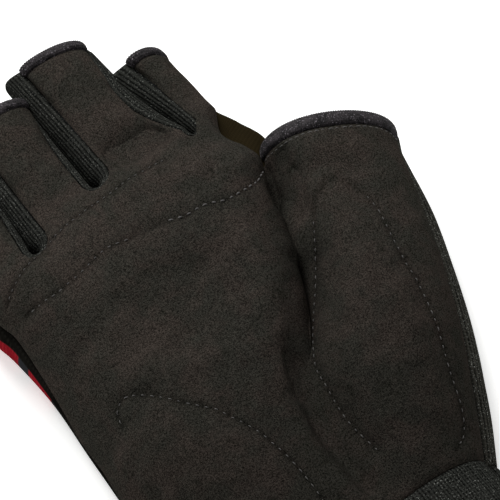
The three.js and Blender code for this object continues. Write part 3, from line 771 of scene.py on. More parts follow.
def thumbGrid(isBack):
    # rows from the crease to the thumb's outer edge, from the hem up to the rim of the thumb
    rim = rimOfThumb(isBack)
    lower, web = rowsAt(stations[: webRow + 1], isBack), rowsAt([cut["webStation"]], isBack)
    row = {}
    for key, goal in rim.items():
        shares = stubShares[:, None] if np.ndim(goal) else stubShares
        row[key] = np.concatenate([lower[key], mix(web[key], goal, shares)])
    c = np.arange(fine["perThumb"] + 1) / fine["perThumb"]
    share = c if isBack else spread(c)
    place = mix(row["crease"][:, None], row["radial"][:, None], share[:, None])
    x, y = place[..., 0], place[..., 1]
    if isBack:
        return np.stack([x, y, np.broadcast_to(row["lift"][:, None], x.shape)], -1)
    span = np.linalg.norm(row["radial"] - row["crease"], axis=-1)[:, None]
    k = {key: value[:, None] for key, value in row.items() if value.ndim == 1}
    z = archHeight(
        span, share, k["thumbCrown"], k["creaseZ"], k["thumbRoll"], k["thumbSharp"],
        k["radialZ"], k["radialRoll"], cut["roundEdge"],
    )
    soft = cut["thumbFade"]
    fade = ease(c * soft) * ease((1 - c) * soft) * ease(thumbStations[:, None] / 0.5)
    return np.stack([x, y, z + fade * relief(x, y)], -1)


# places of a finger's rows among the solids' rows
rowPlace = np.arange(fine["fingerRows"] + 1) / fine["step"]
rowPlace = np.concatenate([rowPlace, rowPlace[-1] + np.arange(1, fine["rimRows"] + 1) / fine["rimStep"]])


def waistOf(f, v):
    # how far a finger's thumb side is drawn in, from its root at 0 to its rim at 1
    way = np.abs(np.sin(np.pi * v ** waist["skew"])) ** waist["sharp"]
    return fingers["waist"][f] * cut["fingerWidth"] * way


def fingerGrid(f, base, isBack):
    # the stretch of the palm's last row turns into the finger's own round rim
    g = {key: values[f] for key, values in fingers.items()}
    left, right = base[0], base[-1]
    half = g["width"] * cut["fingerWidth"] / 2
    leftBack = g["leftBack"] * cut["fingerWidth"] if isBack else 0
    rightBack = g["rightBack"] * cut["fingerWidth"] if isBack else 0
    leftZ = (g["backLift"] if isBack else g["leftZ"]) * cut["fingerHeight"]
    rightZ = (g["backLift"] if isBack else g["rightZ"]) * cut["fingerHeight"]
    x = g["x"] * cut["palmWidth"]
    reach = g["reach"] * cut["fingerLength"]
    y = (1 - cut["originShare"]) * cut["palmLength"] + reach + (cut["rimOverhang"] if isBack else 0)
    tilt = g["slant"] * half
    rimLeft = np.array([x - half + leftBack, y - tilt, leftZ])
    rimRight = np.array([x + half - rightBack, y + tilt, rightZ])
    seam = 1 - cut["fingerTape"] / reach
    v = np.concatenate([
        seam * np.arange(1, fine["fingerRows"] + 1) / fine["fingerRows"],
        mix(seam, 1, np.arange(1, fine["rimRows"] + 1) / fine["rimRows"]),
    ])[:, None]
    w = ease(v)
    c = np.arange(fine["perFinger"] + 1) / fine["perFinger"]
    share = c if isBack else spread(c)
    baseShare = (base[:, 0] - left[0]) / (right[0] - left[0])
    own = base - mix(left, right, baseShare[:, None])
    across = mix(baseShare, share, w)[..., None]
    p = mix(mix(left, rimLeft, v)[:, None], mix(right, rimRight, v)[:, None], across)
    p = p + own * (1 - w)[..., None]
    if not isBack:
        arch = archHeight(
            2 * half, share, g["crown"] * cut["fingerHeight"],
            leftZ, g["leftRoll"] * 2 * half, cut["roundEdge"],
            rightZ, g["rightRoll"] * 2 * half, cut["roundEdge"],
        )
        pads = (1 - w) * (relief(p[..., 0], p[..., 1]) - relief(base[:, 0], base[:, 1]))
        fade = ease(c * cut["fingerFade"]) * ease((1 - c) * cut["fingerFade"])
        p[..., 2] += w * (arch - mix(leftZ, rightZ, share)) + fade * pads
        drawn = waistOf(f, v) * across[..., 0] ** 2
        p[..., 0] -= drawn
        p[..., 2] -= waist["dip"] * drawn
    return p


def buildSheet(isBack):
    palmPlaces, thumbPlaces = palmGrid(isBack), thumbGrid(isBack)
    palm = addPoints(palmPlaces)
    inner = addPoints(thumbPlaces[: webRow + 1, 1:])
    stub = addPoints(thumbPlaces[webRow + 1:])
    thumb = np.vstack([np.hstack([palm[: webRow + 1, -1:], inner]), stub])
    lobes = []
    for f in range(4):
        start = f * (fine["perFinger"] + fine["perGap"])
        stretch = slice(start, start + fine["perFinger"] + 1)
        rows = addPoints(fingerGrid(f, palmPlaces[-1, stretch], isBack))
        lobes.append(np.vstack([palm[-1:, stretch], rows]))
    return {"palm": palm, "thumb": thumb, "lobes": lobes}


palmSheet, backSheet = buildSheet(False), buildSheet(True)


def crotchPath(sheet, f):
    start = f * (fine["perFinger"] + fine["perGap"]) + fine["perFinger"]
    gap = sheet["palm"][-1, start + 1: start + fine["perGap"]]
    return np.concatenate([sheet["lobes"][f][::-1, -1], gap, sheet["lobes"][f + 1][:, 0]])


def ulnarPath(sheet):
    return np.concatenate([sheet["palm"][:, 0], sheet["lobes"][0][1:, 0]])


def webPath(sheet):
    palmPart = sheet["palm"][webRow: -1, -1][::-1]
    return np.concatenate([sheet["lobes"][3][::-1, -1], palmPart, sheet["thumb"][webRow + 1:, 0]])


def radialPath(sheet):
    return sheet["thumb"][::-1, -1]


def blurred(values, sigma):
    # a running average with soft ends to its window
    reach = int(3 * sigma)
    window = np.exp(-0.5 * (np.arange(-reach, reach + 1) / sigma) ** 2)
    padded = np.pad(values, reach, mode="edge")
    return np.convolve(padded, window / window.sum(), "valid")


def buildStrip(top, bottom, bulges, rows):
    # a quarter of an ellipse from edge to edge, which swells outwards by sin of twice its angle
    points = np.concatenate(pool)
    a, b = points[top], points[bottom]
    reach = 2
    i = np.arange(len(top))
    along = a[np.minimum(i + reach, len(top) - 1), :2] - a[np.maximum(i - reach, 0), :2]
    along /= np.linalg.norm(along, axis=1)[:, None]
    outset = along[:, 0] * (b - a)[:, 1] - along[:, 1] * (b - a)[:, 0]
    lean = blurred(cut["leanShare"] * ease(0.5 + outset / 2), 2.0 * fine["step"])[:, None]
    angle = np.pi / 2 * np.arange(1, rows) / rows
    out = np.asarray(bulges)[:, None] * np.sin(np.pi * (angle / (np.pi / 2)) ** cut["swellSkew"])
    across = mix(1 - np.cos(angle), np.sin(angle), lean)
    down = mix(np.sin(angle), 1 - np.cos(angle), lean)
    x = mix(a[:, None, 0], b[:, None, 0], across) - along[:, 1:] * out
    y = mix(a[:, None, 1], b[:, None, 1], across) + along[:, :1] * out
    z = mix(a[:, None, 2], b[:, None, 2], down)
    inner = addPoints(np.stack([x, y, z], -1))
    return np.hstack([top[:, None], inner, bottom[:, None]])


def fadeTo(rim, root, tuck=0.0):
    # a side's swelling from its root to the rim, where it may draw in by a share
    toRim = rowPlace[-1] - rowPlace
    swelling = mix(root, rim * cut["fingerWidth"], ease(rowPlace / rowPlace[-1]))
    return swelling * (1 - tuck * ease(1 - toRim / cut["tuckRows"]))


def crotchBulges(f):
    # down the left finger, round the crotch and up the right finger
    w = np.arange(1, fine["perGap"]) / fine["perGap"]
    first = fadeTo(fingers["rightBulge"][f], cut["gussetBulge"], 0.7)
    return np.concatenate([
        (first + waist["swell"] * waistOf(f, rowPlace / rowPlace[-1]))[::-1],
        mix(cut["gussetBulge"], cut["gussetSwell"], w) * (1 - np.sin(np.pi * w)),
        fadeTo(fingers["leftBulge"][f + 1], cut["gussetSwell"]),
    ])


ribs = {
    "gusset": 15,
    "web": 17,
    "side": 17,
    "perRib": 7,
    "pitch": 1.05,
    "crest": 0.7,
    "middle": 0.6,
    "edgeFade": 0.5,
    "edgeRoll": (0.3, 0.9),
    "heights": {"gusset": 0.34, "smooth": 0.03, "thumbSide": 0.2},
}
ribRows = {key: ribs[key] * ribs["perRib"] for key in ("gusset", "web", "side")}
gussets = [
    buildStrip(crotchPath(palmSheet, f), crotchPath(backSheet, f), crotchBulges(f), ribRows["gusset"])
    for f in range(3)
]
webStrip = buildStrip(
    webPath(palmSheet), webPath(backSheet), np.full(len(webPath(palmSheet)), cut["webBulge"]), ribRows["web"]
)
ulnarBulges = sample(ulnarEdge, np.maximum(stations, 0))["bulge"] * cut["palmWidth"]
ulnarBulges = np.concatenate([ulnarBulges, fadeTo(fingers["leftBulge"][0], ulnarBulges[-1])[1:]])
ulnarStrip = buildStrip(ulnarPath(palmSheet), ulnarPath(backSheet), ulnarBulges, ribRows["side"])
radialBulges = sample(radialEdge, np.maximum(thumbStations, 0))["bulge"][::-1] * cut["palmWidth"]
radialStrip = buildStrip(radialPath(palmSheet), radialPath(backSheet), radialBulges, ribRows["side"])[::-1]
points = np.concatenate(pool)
print("surface made,", len(points), "points")


# Pieces of that surface


def runOf(line):
    # how far along a line each of its points lies
    return np.concatenate([[0], np.cumsum(np.linalg.norm(np.diff(line, axis=0), axis=1))])


def turns(count):
    # even angles round a tube
    return np.arange(count) / count * 2 * np.pi


def stripCloth(strip):
    # along the top seam and across the ribs, in millimetres
    u = runOf(points[strip[:, 0]])[:, None] + np.zeros(strip.shape[1])
    v = np.arange(strip.shape[1]) / ribs["perRib"] * ribs["pitch"] + np.zeros((len(strip), 1))
    return np.stack([u, v], -1)


def quadsOf(ids, isReversed):
    quads = np.stack([ids[:-1, :-1], ids[:-1, 1:], ids[1:, 1:], ids[1:, :-1]], -1).reshape(-1, 4)
    return quads[:, ::-1] if isReversed else quads


patches = {}


def addPatch(name, ids, isReversed=False, cloth=None):
    if cloth is None:
        cloth = points[ids][..., :2]
    patches.setdefault(name, []).append((ids, isReversed, cloth))


for sheet, side, isReversed in ((palmSheet, "palm", False), (backSheet, "back", True)):
    addPatch(side, sheet["palm"][cuffEnd:], isReversed)
    top = stubEnd if isReversed else webRow + fine["stubRows"]
    addPatch(side, sheet["thumb"][cuffEnd: top + 1], isReversed)
    for lobe in sheet["lobes"]:
        addPatch(side, lobe if isReversed else lobe[: fine["fingerRows"] + 1], isReversed)
addPatch("bindings", palmSheet["thumb"][webRow + fine["stubRows"]:])
for lobe in palmSheet["lobes"]:
    addPatch("bindings", lobe[fine["fingerRows"]:])
for name, strip in zip(("littleRing", "ringMiddle", "middleIndex"), gussets):
    addPatch(name, strip, True, stripCloth(strip))
addPatch("web", webStrip, True, stripCloth(webStrip))
addPatch("ulnarSide", ulnarStrip[cuffEnd:], True, stripCloth(ulnarStrip[cuffEnd:]))
addPatch("thumbSide", radialStrip[cuffEnd:], False, stripCloth(radialStrip[cuffEnd:]))
# the cuff goes round in one ring: palm, thumb, side, back of the thumb, back, other side
ring = np.hstack([
    palmSheet["palm"][: cuffEnd + 1],
    palmSheet["thumb"][: cuffEnd + 1, 1:],
    radialStrip[: cuffEnd + 1, 1:],
    backSheet["thumb"][: cuffEnd + 1, ::-1][:, 1:],
    backSheet["palm"][: cuffEnd + 1, ::-1][:, 1:],
    ulnarStrip[: cuffEnd + 1, ::-1][:, 1:],
])
ringCloth = np.stack([
    np.broadcast_to(runOf(points[ring[cuffEnd]]), ring.shape),
    np.broadcast_to(stations[: cuffEnd + 1, None], ring.shape),
], -1)
addPatch("hem", ring[: hemEnd + 1], False, ringCloth[: hemEnd + 1])
addPatch("cuff", ring[hemEnd:], False, ringCloth[hemEnd:])

allQuads = np.concatenate([quadsOf(ids, flip) for group in patches.values() for ids, flip, _ in group])


def unit(v):
    return v / np.maximum(np.linalg.norm(v, axis=-1, keepdims=True), 1e-12)


def gathered(ids, values, count):
    # sums of the rows of values over the points they belong to
    return np.stack([np.bincount(ids, values[:, k], count) for k in range(values.shape[1])], -1)


def facingOf(quads):
    p = points[quads]
    return np.cross(p[:, 2] - p[:, 0], p[:, 3] - p[:, 1])


normals = unit(gathered(allQuads.ravel(), np.repeat(facingOf(allQuads), 4, axis=0), len(points)))
pairs = np.concatenate([allQuads[:, [i, (i + 1) % 4]] for i in range(4)])
pairs = np.unique(np.sort(pairs, axis=1), axis=0)
inwards = normals
# the walls follow evened-out directions, so that they don't cross beside a seam
for _ in range(fine["evenings"]):
    spreadOut = gathered(pairs[:, 0], inwards[pairs[:, 1]], len(points))
    spreadOut += gathered(pairs[:, 1], inwards[pairs[:, 0]], len(points))
    inwards = unit(2 * inwards + spreadOut / 2)
print("directions made")


def makePiece(name, places, faces, material, cloth, nodes):
    # places and cloth in millimetres; faces as arrays of triangles or quads
    mesh = bpy.data.meshes.new(name)
    sizes = np.concatenate([np.full(len(f), f.shape[1]) for f in faces])
    corners = np.concatenate([f.ravel() for f in faces]).astype(np.int32)
    mesh.vertices.add(len(places))
    mesh.loops.add(len(corners))
    mesh.polygons.add(len(sizes))
    mesh.vertices.foreach_set("co", (places * metre).astype(np.float32).ravel())
    mesh.loops.foreach_set("vertex_index", corners)
    mesh.polygons.foreach_set("loop_start", (np.cumsum(sizes) - sizes).astype(np.int32))
    mesh.polygons.foreach_set("use_smooth", np.ones(len(sizes), bool))
    if cloth is not None:
        sewn = mesh.attributes.new("sewn", "FLOAT_VECTOR", "POINT")
        three = np.zeros((len(cloth), 3))
        three[:, : cloth.shape[1]] = cloth
        three[:, :2] *= metre
        sewn.data.foreach_set("vector", three.astype(np.float32).ravel())
    mesh.update(calc_edges=True)
    mesh.validate()
    mesh.materials.append(material)
    piece = bpy.data.objects.new(name, mesh)
    bpy.context.scene.collection.objects.link(piece)
    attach(piece, "root")
    if nodes:
        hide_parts(*nodes)


def seamDistance(edges, lengths, isSeam):
    # distance to the nearest seam, spread from ring to ring over the mesh's own edges
    away = np.where(isSeam, 0.0, cut["seamReach"])
    for _ in range(fine["seamRings"]):
        wider = away.copy()
        np.minimum.at(wider, edges[:, 0], away[edges[:, 1]] + lengths)
        np.minimum.at(wider, edges[:, 1], away[edges[:, 0]] + lengths)
        away = wider
    return away


def rolledIn(away, depth, width):
    # how deep a panel's edge turns in beside its seam
    return -depth * (1 - ease(away / width))


def thickened(name, wall, skin):
    # outer skin, wall along the evened-out directions, and edges drawn back from the seams.
    # skin gives how far the outer side stands out, from places, cloth and distance to a seam
    group = patches[name]
    quads = np.concatenate([quadsOf(ids, flip) for ids, flip, _ in group])
    used, local = np.unique(quads, return_inverse=True)
    local = local.reshape(-1, 4)
    cloth = np.zeros((len(points), 2))
    for ids, _, values in group:
        cloth[ids.ravel()] = values.reshape(-1, 2)
    cloth = cloth[used]
    a, b = local.ravel(), np.roll(local, -1, axis=1).ravel()
    isOpen = ~np.isin(a * len(used) + b, b * len(used) + a)
    rimA, rimB = a[isOpen], b[isOpen]
    isSeam = np.zeros(len(used), bool)
    isSeam[rimA] = isSeam[rimB] = True
    base = points[used].copy()
    centres = np.repeat(points[quads].mean(1), 4, axis=0)
    towards = gathered(a, unit(centres - base[a]), len(used))
    facing = unit(gathered(a, np.repeat(facingOf(quads), 4, axis=0), len(used)))
    towards = unit(towards - facing * (towards * facing).sum(1)[:, None])
    base[isSeam] += cut["seamGap"] * towards[isSeam]
    outwards = normals[used]
    edges = np.unique(np.sort(np.stack([a, b], 1), axis=1), axis=0)
    lengths = np.linalg.norm(base[edges[:, 0]] - base[edges[:, 1]], axis=1)
    away = seamDistance(edges, lengths, isSeam)
    outer = base + outwards * skin(base, cloth, away, outwards)[:, None]
    slant = np.maximum((inwards[used] * outwards).sum(1), cut["wallSlant"])[:, None]
    inner = base - inwards[used] * wall / slant
    for side in (outer, inner):
        side[:, 2] = np.maximum(side[:, 2], cut["ground"])
    count = len(used)
    faces = [local, local[:, ::-1] + count, np.stack([rimB, rimA, rimA + count, rimB + count], 1)]
    return np.concatenate([outer, inner]), faces, np.concatenate([cloth, cloth])


def alongLine(knots, step=0.5):
    # a smooth curve through the knots, in even steps of about that many millimetres
    knots = np.array(knots, float)
    dense = catmull(knots, np.linspace(0, len(knots) - 1, fine["perKnot"] * len(knots)))
    run = runOf(dense)
    at = np.linspace(0, run[-1], max(int(run[-1] / step), 2))
    return np.stack([np.interp(at, run, dense[:, k]) for k in range(dense.shape[1])], -1)


def nearestOn(x, y, line):
    # plan distance from each point to the nearest point of a line, and how far along that lies
    run = runOf(line)
    nearest, along = np.full(len(x), 1e9), np.zeros(len(x))
    for part in np.array_split(np.arange(len(line)), max(len(line) // fine["perBlock"], 1)):
        d = (x[:, None] - line[part, 0]) ** 2 + (y[:, None] - line[part, 1]) ** 2
        along = np.where(d.min(1) < nearest, run[part][d.argmin(1)], along)
        nearest = np.minimum(nearest, d.min(1))
    return np.sqrt(nearest), along


def distanceTo(x, y, line):
    return nearestOn(x, y, line)[0]


def insideOf(x, y, loop):
    # True inside a closed outline, by counting the edges to the right of each point
    crossings = np.zeros(len(x), int)
    for (x0, y0), (x1, y1) in zip(loop, np.roll(loop, -1, axis=0)):
        if y0 == y1:
            continue
        isBetween = (y0 > y) != (y1 > y)
        crossings += isBetween & (x < x0 + (y - y0) * (x1 - x0) / (y1 - y0))
    return crossings % 2 == 1


# Palm: one suede panel, quilted over pads

quilting = {
    "grooveDepth": 0.62,
    "grooveWidth": 0.75,
    "dipDepth": 0.25,
    "dipWidth": 3.0,
    "shadeWidth": 0.6,
    "pull": 0.25,  # how much shallower a groove is between two stitches
    "steep": (0.15, 0.4),
    "edgeFade": 2.5,
    "edgeRoll": (0.45, 1.3),
    "strokeFade": 5,
    "pitch": 2.5,
    "threadLength": 1.1,
    "threadRadius": 0.135,
    "plain": {"thumbLine": (8.2, 12.2), "palmLine": (8.5, 10.2)},  # no stitches show between these knots
    "unevenness": 0.5,  # how much the stitches differ
    "sewing": {"knuckleLine": (0.85, 0.75, 0.8), "palmLineLower": (1.0, 1.2, 1.6)},  # pitch, length, radius
    "lines": {
        "knuckleLine": [
            [16.5, 32.8], [11.7, 32.9], [5.4, 33.3], [0.4, 33.2], [-8.0, 32.8], [-17.8, 32.2],
            [-24.5, 31.0], [-31.4, 29.3], [-37.4, 27.0], [-40.6, 25.1],
        ],
        "palmLine": [
            [36.8, 16.4], [34.0, 14.2], [31.1, 12.5], [25.1, 11.2], [20.4, 11.4], [16.7, 13.0],
            [12.3, 13.7], [7.9, 14.4], [4.1, 15.7], [-0.3, 16.4], [-4.6, 17.1], [-11.7, 18.4],
            [-15.9, 18.3], [-22.3, 17.0], [-29.0, 16.8], [-33.2, 17.7], [-38.5, 19.2],
        ],
        "heelLine": [
            [-37.4, -22.0], [-36.6, -18.8], [-34.8, -17.5], [-32.4, -17.9], [-29.2, -20.9], [-25.1, -26.1],
            [-22.0, -30.4], [-17.7, -35.3], [-15.8, -39.1], [-13.4, -44.3], [-12.0, -49.0], [-10.6, -56.0],
            [-10.0, -64.0], [-10.4, -72.0], [-11.5, -79.5],
        ],
        "thumbLine": [
            [9.9, -68.1], [8.9, -59.5], [9.2, -52.6], [10.4, -45.6], [12.4, -38.0], [19.7, -27.7],
            [28.2, -17.8], [34.2, -9.5], [38.0, -3.7], [41.6, -0.1], [46.5, 1.0], [49.6, -1.0],
            [51.5, -7.0], [51.6, -13.5], [49.5, -22.4], [47.7, -30.2], [46.5, -38.0], [43.3, -49.2],
            [38.7, -60.5], [36.3, -67.9], [34.0, -72.5], [31.0, -76.0], [26.5, -78.3],
        ],
    },
}
quiltLines = {key: alongLine(knots) for key, knots in quilting["lines"].items()}
sewnLines = dict(quiltLines)
for key, (start, stop) in quilting["plain"].items():
    knots = np.array(quilting["lines"][key])
    first, second = catmull(knots, np.array([start, stop]))
    del sewnLines[key]
    line = quiltLines[key]  # a stitched part below the plain one, and one above it
    last = np.argmin(np.linalg.norm(line - first, axis=1))
    again = np.argmin(np.linalg.norm(line - second, axis=1))
    sewnLines[key + "Lower"], sewnLines[key + "Upper"] = line[:last], line[again:]
padding = [  # pad's outline, its raise in millimetres, and how soon it rises from its stitches
    ("thumbLine", [[20, -90], [8, -86]], 0.7, 6.0),
    ("heelLine", [[-16, -96], [-56, -96], [-62, -40], [-52, -22]], 0.7, 6.0),
]
strokes = [  # soft folds: line, half width and height in millimetres
    ([[33.0, 9.6], [40.0, 9.9], [44.9, 8.2], [50.2, 4.9], [54.8, 0.2], [56.9, -5.8]], 3.0, -0.9),
    ([[41.0, 16.5], [48.0, 13.5], [56.0, 8.0], [62.0, 2.0]], 3.2, 0.5),
    ([[3.5, 45.6], [7.5, 43.8], [12.0, 42.9], [17.0, 42.8], [21.0, 43.4], [25.0, 44.6]], 4.2, -3.6),
    ([[23.4, 74.0], [21.6, 66.0], [21.4, 60.0], [24.0, 53.0]], 2.6, 0.9),
    ([[16.5, 68.0], [15.0, 60.0], [16.0, 53.0]], 3.2, -0.8),
    ([[-8.0, 66.0], [-8.5, 58.0], [-6.5, 50.0]], 3.2, -0.7),
    ([[32.5, 7.0], [32.2, 1.0], [30.6, -5.5], [27.6, -12.0]], 3.6, 1.7),
    ([[9.4, -31.5], [7.4, -37.0], [5.0, -43.0], [2.6, -53.0], [1.9, -64.0], [2.4, -79.0]], 2.6, -2.3),
    ([[10.5, -28.0], [9.0, -33.0], [7.2, -38.0]], 2.6, -0.6),
    ([[1.6, -43.0], [-1.6, -53.0], [-2.6, -64.0], [-2.2, -79.0]], 4.0, 0.9),
    ([[46.5, 25.0], [42.5, 17.0], [39.5, 10.0], [37.5, 3.5], [34.0, -5.0]], 3.2, -2.2),
    ([[4.0, 4.0], [-4.0, -8.0], [-14.0, -16.0]], 4.5, -0.7),
    ([[20.0, 2.0], [14.0, -12.0], [6.0, -24.0]], 4.0, 0.5),
    ([[-36.0, 4.0], [-28.0, -4.0], [-24.0, -14.0]], 4.0, -0.8),
    ([[58.0, -18.0], [54.0, -34.0], [46.0, -54.0]], 3.5, 0.5),
    ([[24.0, -36.0], [30.0, -48.0], [30.0, -62.0]], 4.0, -0.5),
]
waves = {"height": 0.2, "length": 9.0, "shortest": 0.6, "spread": 1.2, "circle": 6.28, "count": 14, "seed": 5}


def rolling(x, y):
    # slow waves in many directions, so that no stretch of cloth is quite smooth
    draw = np.random.default_rng(waves["seed"])
    total = np.zeros_like(x)
    for turn, phase, size in draw.random((waves["count"], 3)):
        length = waves["length"] * (waves["shortest"] + waves["spread"] * size)
        way = np.pi * 2 * turn
        run = (x * np.cos(way) + y * np.sin(way)) / length
        total += np.sin(2 * np.pi * run + waves["circle"] * phase)
    return waves["height"] * total / np.sqrt(waves["count"])


def palmSkin(base, cloth, away, outwards):
    x, y = base[:, 0], base[:, 1]
    q = quilting
    isTop = ease((outwards[:, 2] - q["steep"][0]) / q["steep"][1])
    height = rolling(x, y) * isTop
    for line in quiltLines.values():
        d, along = nearestOn(x, y, line)
        pull = 1 - q["pull"] + q["pull"] * np.cos(2 * np.pi * along / q["pitch"])
        height -= q["grooveDepth"] * pull * np.exp(-((d / q["grooveWidth"]) ** 2)) * isTop
        height -= q["dipDepth"] * np.exp(-((d / q["dipWidth"]) ** 2)) * isTop
    for name, closing, raiseBy, width in padding:
        line = quiltLines[name]
        isIn = insideOf(x, y, np.concatenate([line, closing]))
        outline = np.concatenate([line, alongLine([line[-1], *closing, line[0]], 1.0)])
        height += raiseBy * isIn * (1 - np.exp(-((distanceTo(x, y, outline) / width) ** 2)))
    for knots, width, raiseBy in strokes:
        line = alongLine(knots, 1.0)
        d, along = nearestOn(x, y, line)
        fade = ease((along + 1) / q["strokeFade"]) * ease((len(line) - along) / q["strokeFade"])
        height += raiseBy * fade * np.exp(-((d / width) ** 2))
    return height * ease(away / q["edgeFade"]) + rolledIn(away, *q["edgeRoll"])


places, faces, cloth = thickened("palm", cut["suedeWall"], palmSkin)
# painted shade along the grooves of the quilting lines, kept as the cloth's third value
shade = np.zeros(len(places))
for line in quiltLines.values():
    d = distanceTo(places[:, 0], places[:, 1], line)
    shade = np.maximum(shade, np.exp(-((d / quilting["shadeWidth"]) ** 2)))
cloth = np.concatenate([cloth, shade[:, None]], 1)
makePiece("palmPanel", places, faces, suede, cloth, ["palm_panel"])
palmTree = BVHTree.FromPolygons([Vector(p) for p in places[: len(places) // 2]], faces[0].tolist())
print("palm made,", len(places), "points")


# Back: flat knit panel

backLook = {"edgeRoll": (0.35, 1.2)}


def backSkin(base, cloth, away, outwards):
    return rolledIn(away, *backLook["edgeRoll"])


places, faces, cloth = thickened("back", cut["knitWall"], backSkin)
makePiece("backPanel", places, faces, backKnit, cloth, ["back_panel"])
print("back made")


# Ribbed strips between the fingers, in the web and along the sides


def ridges(across, pitch):
    # the absolute sine, raised to a power that rounds the crests
    return np.abs(np.sin(np.pi * across / pitch)) ** ribs["crest"] - ribs["middle"]


def ribSkin(ribHeight):
    # ridges that run along the strip
    def skin(base, cloth, away, outwards):
        height = ribHeight * ridges(cloth[:, 1], ribs["pitch"]) * ease(away / ribs["edgeFade"])
        return height + rolledIn(away, *ribs["edgeRoll"])

    return skin


for name, node, finish, relieved in (
    ("littleRing", "gusset_little_ring", knit, "gusset"),
    ("ringMiddle", "gusset_ring_middle", knit, "gusset"),
    ("middleIndex", "gusset_middle_index", knit, "gusset"),
    ("web", "web_gusset", webKnitWithPaintedShade, "smooth"),
    ("ulnarSide", "ulnar_side", blockKnit, "smooth"),
    ("thumbSide", "thumb_side", outerKnit, "thumbSide"),
):
    places, faces, cloth = thickened(name, cut["knitWall"], ribSkin(ribs["heights"][relieved]))
    makePiece(name + "Knit", places, faces, finish, cloth, [node])
print("ribbed strips made")


# Cuff and hem

cuffLook = {"ribPitch": 1.7, "ribHeight": 0.28, "edgeFade": 0.8, "edgeRoll": (0.3, 1.0)}


def cuffSkin(base, cloth, away, outwards):
    # ridges that run up the cuff
    c = cuffLook
    height = c["ribHeight"] * ridges(cloth[:, 0], c["ribPitch"]) * ease(away / c["edgeFade"])
    return height + rolledIn(away, *c["edgeRoll"])


def hemSkin(base, cloth, away, outwards):
    # a round tape: highest in its middle
    share = clip((cloth[:, 1] - stations[0]) / cut["hemWidth"])
    return cut["tapeProud"] * (1 - (2 * share - 1) ** 4)


places, faces, cloth = thickened("cuff", cut["cuffWall"], cuffSkin)
makePiece("cuffRib", places, faces, knit, cloth[:, ::-1], ["cuff"])
places, faces, cloth = thickened("hem", cut["hemWall"], hemSkin)
makePiece("cuffHem", places, faces, elastic, cloth[:, ::-1], ["cuff_hem"])
print("cuff made")


# Bindings: tape folded round each rim

bindingLook = {
    "around": 40,
    "stepsPerQuad": 4,
    "braid": 0.15,
    "braidPitch": 1.3,
    "braidSlant": 0.8,
    "square": (0.7, 0.75),  # under 1 squares the tape's outline, across and in height
    "endSize": 0.9,
    "endFade": 0.6,
    "tuck": 0.0,  # clear of the suede
    "fold": 0.35,  # past the rim
}


def power(v, k):
    return np.sign(v) * np.abs(v) ** k


def tubeFaces(count, around):
    # quads round a tube, with a fan of triangles to a middle point at each end
    i = np.arange(count - 1)[:, None] * around
    j = np.arange(around)
    k = (j + 1) % around
    quads = np.stack([i + j, i + k, i + around + k, i + around + j], -1).reshape(-1, 4)
    first, last = count * around, count * around + 1
    end = (count - 1) * around
    fans = np.concatenate([
        np.stack([k, j, np.full(around, first)], -1),
        np.stack([end + j, end + k, np.full(around, last)], -1),
    ])
    return [quads, fans]


def makeBinding(name, node, seamIds, rimIds):
    # a superellipse carried along the rim: across it is the way to the rim, and up is the skin's way
    b = bindingLook
    columns = len(seamIds)
    at = np.linspace(0, columns - 1, (columns - 1) * b["stepsPerQuad"] + 1)
    low, high = catmull(points[seamIds], at), catmull(points[rimIds], at)
    up = unit(catmull(unit(normals[seamIds] + normals[rimIds]), at))
    out = unit(high - low)
    up = unit(up - out * (up * out).sum(1)[:, None])
    reach = np.linalg.norm(high - low, axis=1)[:, None]
    start, stop = b["tuck"], reach + b["fold"]
    half = (stop - start) / 2
    centre = low + out * (start + half)
    thick = (cut["bindingWall"] + cut["tapeProud"]) / 2
    centre = centre + up * (cut["tapeProud"] - thick)
    turn = turns(b["around"])
    u = runOf(centre)[:, None]
    ends = ease(u / b["endFade"]) * ease((u[-1] - u) / b["endFade"])
    v = half * turn * b["braidSlant"]
    beat = 2 * np.pi / b["braidPitch"]
    braid = b["braid"] * np.sin(beat * (u + v)) * np.sin(beat * (u - v))
    size = mix(b["endSize"], 1, ends) + braid / thick * ends
    across = (half * power(np.cos(turn), b["square"][0]) * size)[..., None]
    rising = (thick * power(np.sin(turn), b["square"][1]) * size)[..., None]
    rings = centre[:, None] + out[:, None] * across + up[:, None] * rising
    places = np.concatenate([rings.reshape(-1, 3), centre[:1], centre[-1:]])
    faces = tubeFaces(len(at), b["around"])
    a, c, d = rings[0, 0], rings[0, 1], rings[1, 0]
    if np.dot(np.cross(c - a, d - a), a - centre[0]) < 0:
        faces = [f[:, ::-1] for f in faces]
    makePiece(name, places, faces, tape, None, [node])


for f, name in enumerate(fingerNames):
    lobe = palmSheet["lobes"][f]
    makeBinding(name + "Binding", name + "_binding", lobe[fine["fingerRows"]], lobe[-1])
thumbGridIds = palmSheet["thumb"]
makeBinding("thumbBinding", "thumb_binding", thumbGridIds[webRow + fine["stubRows"]], thumbGridIds[-1])
print("bindings made")


# Closing strap under the wrist

strapLook = {
    "inset": 1.5,
    "clearance": 0.4,
    "width": 21.0,
    "reach": 48.0,
    "corner": 6.0,
    "wall": 1.8,
    "around": 64,
    "rows": 96,
    "square": (0.35, 0.5),
    "endFade": 0.8,
    "endWall": 0.35,
}


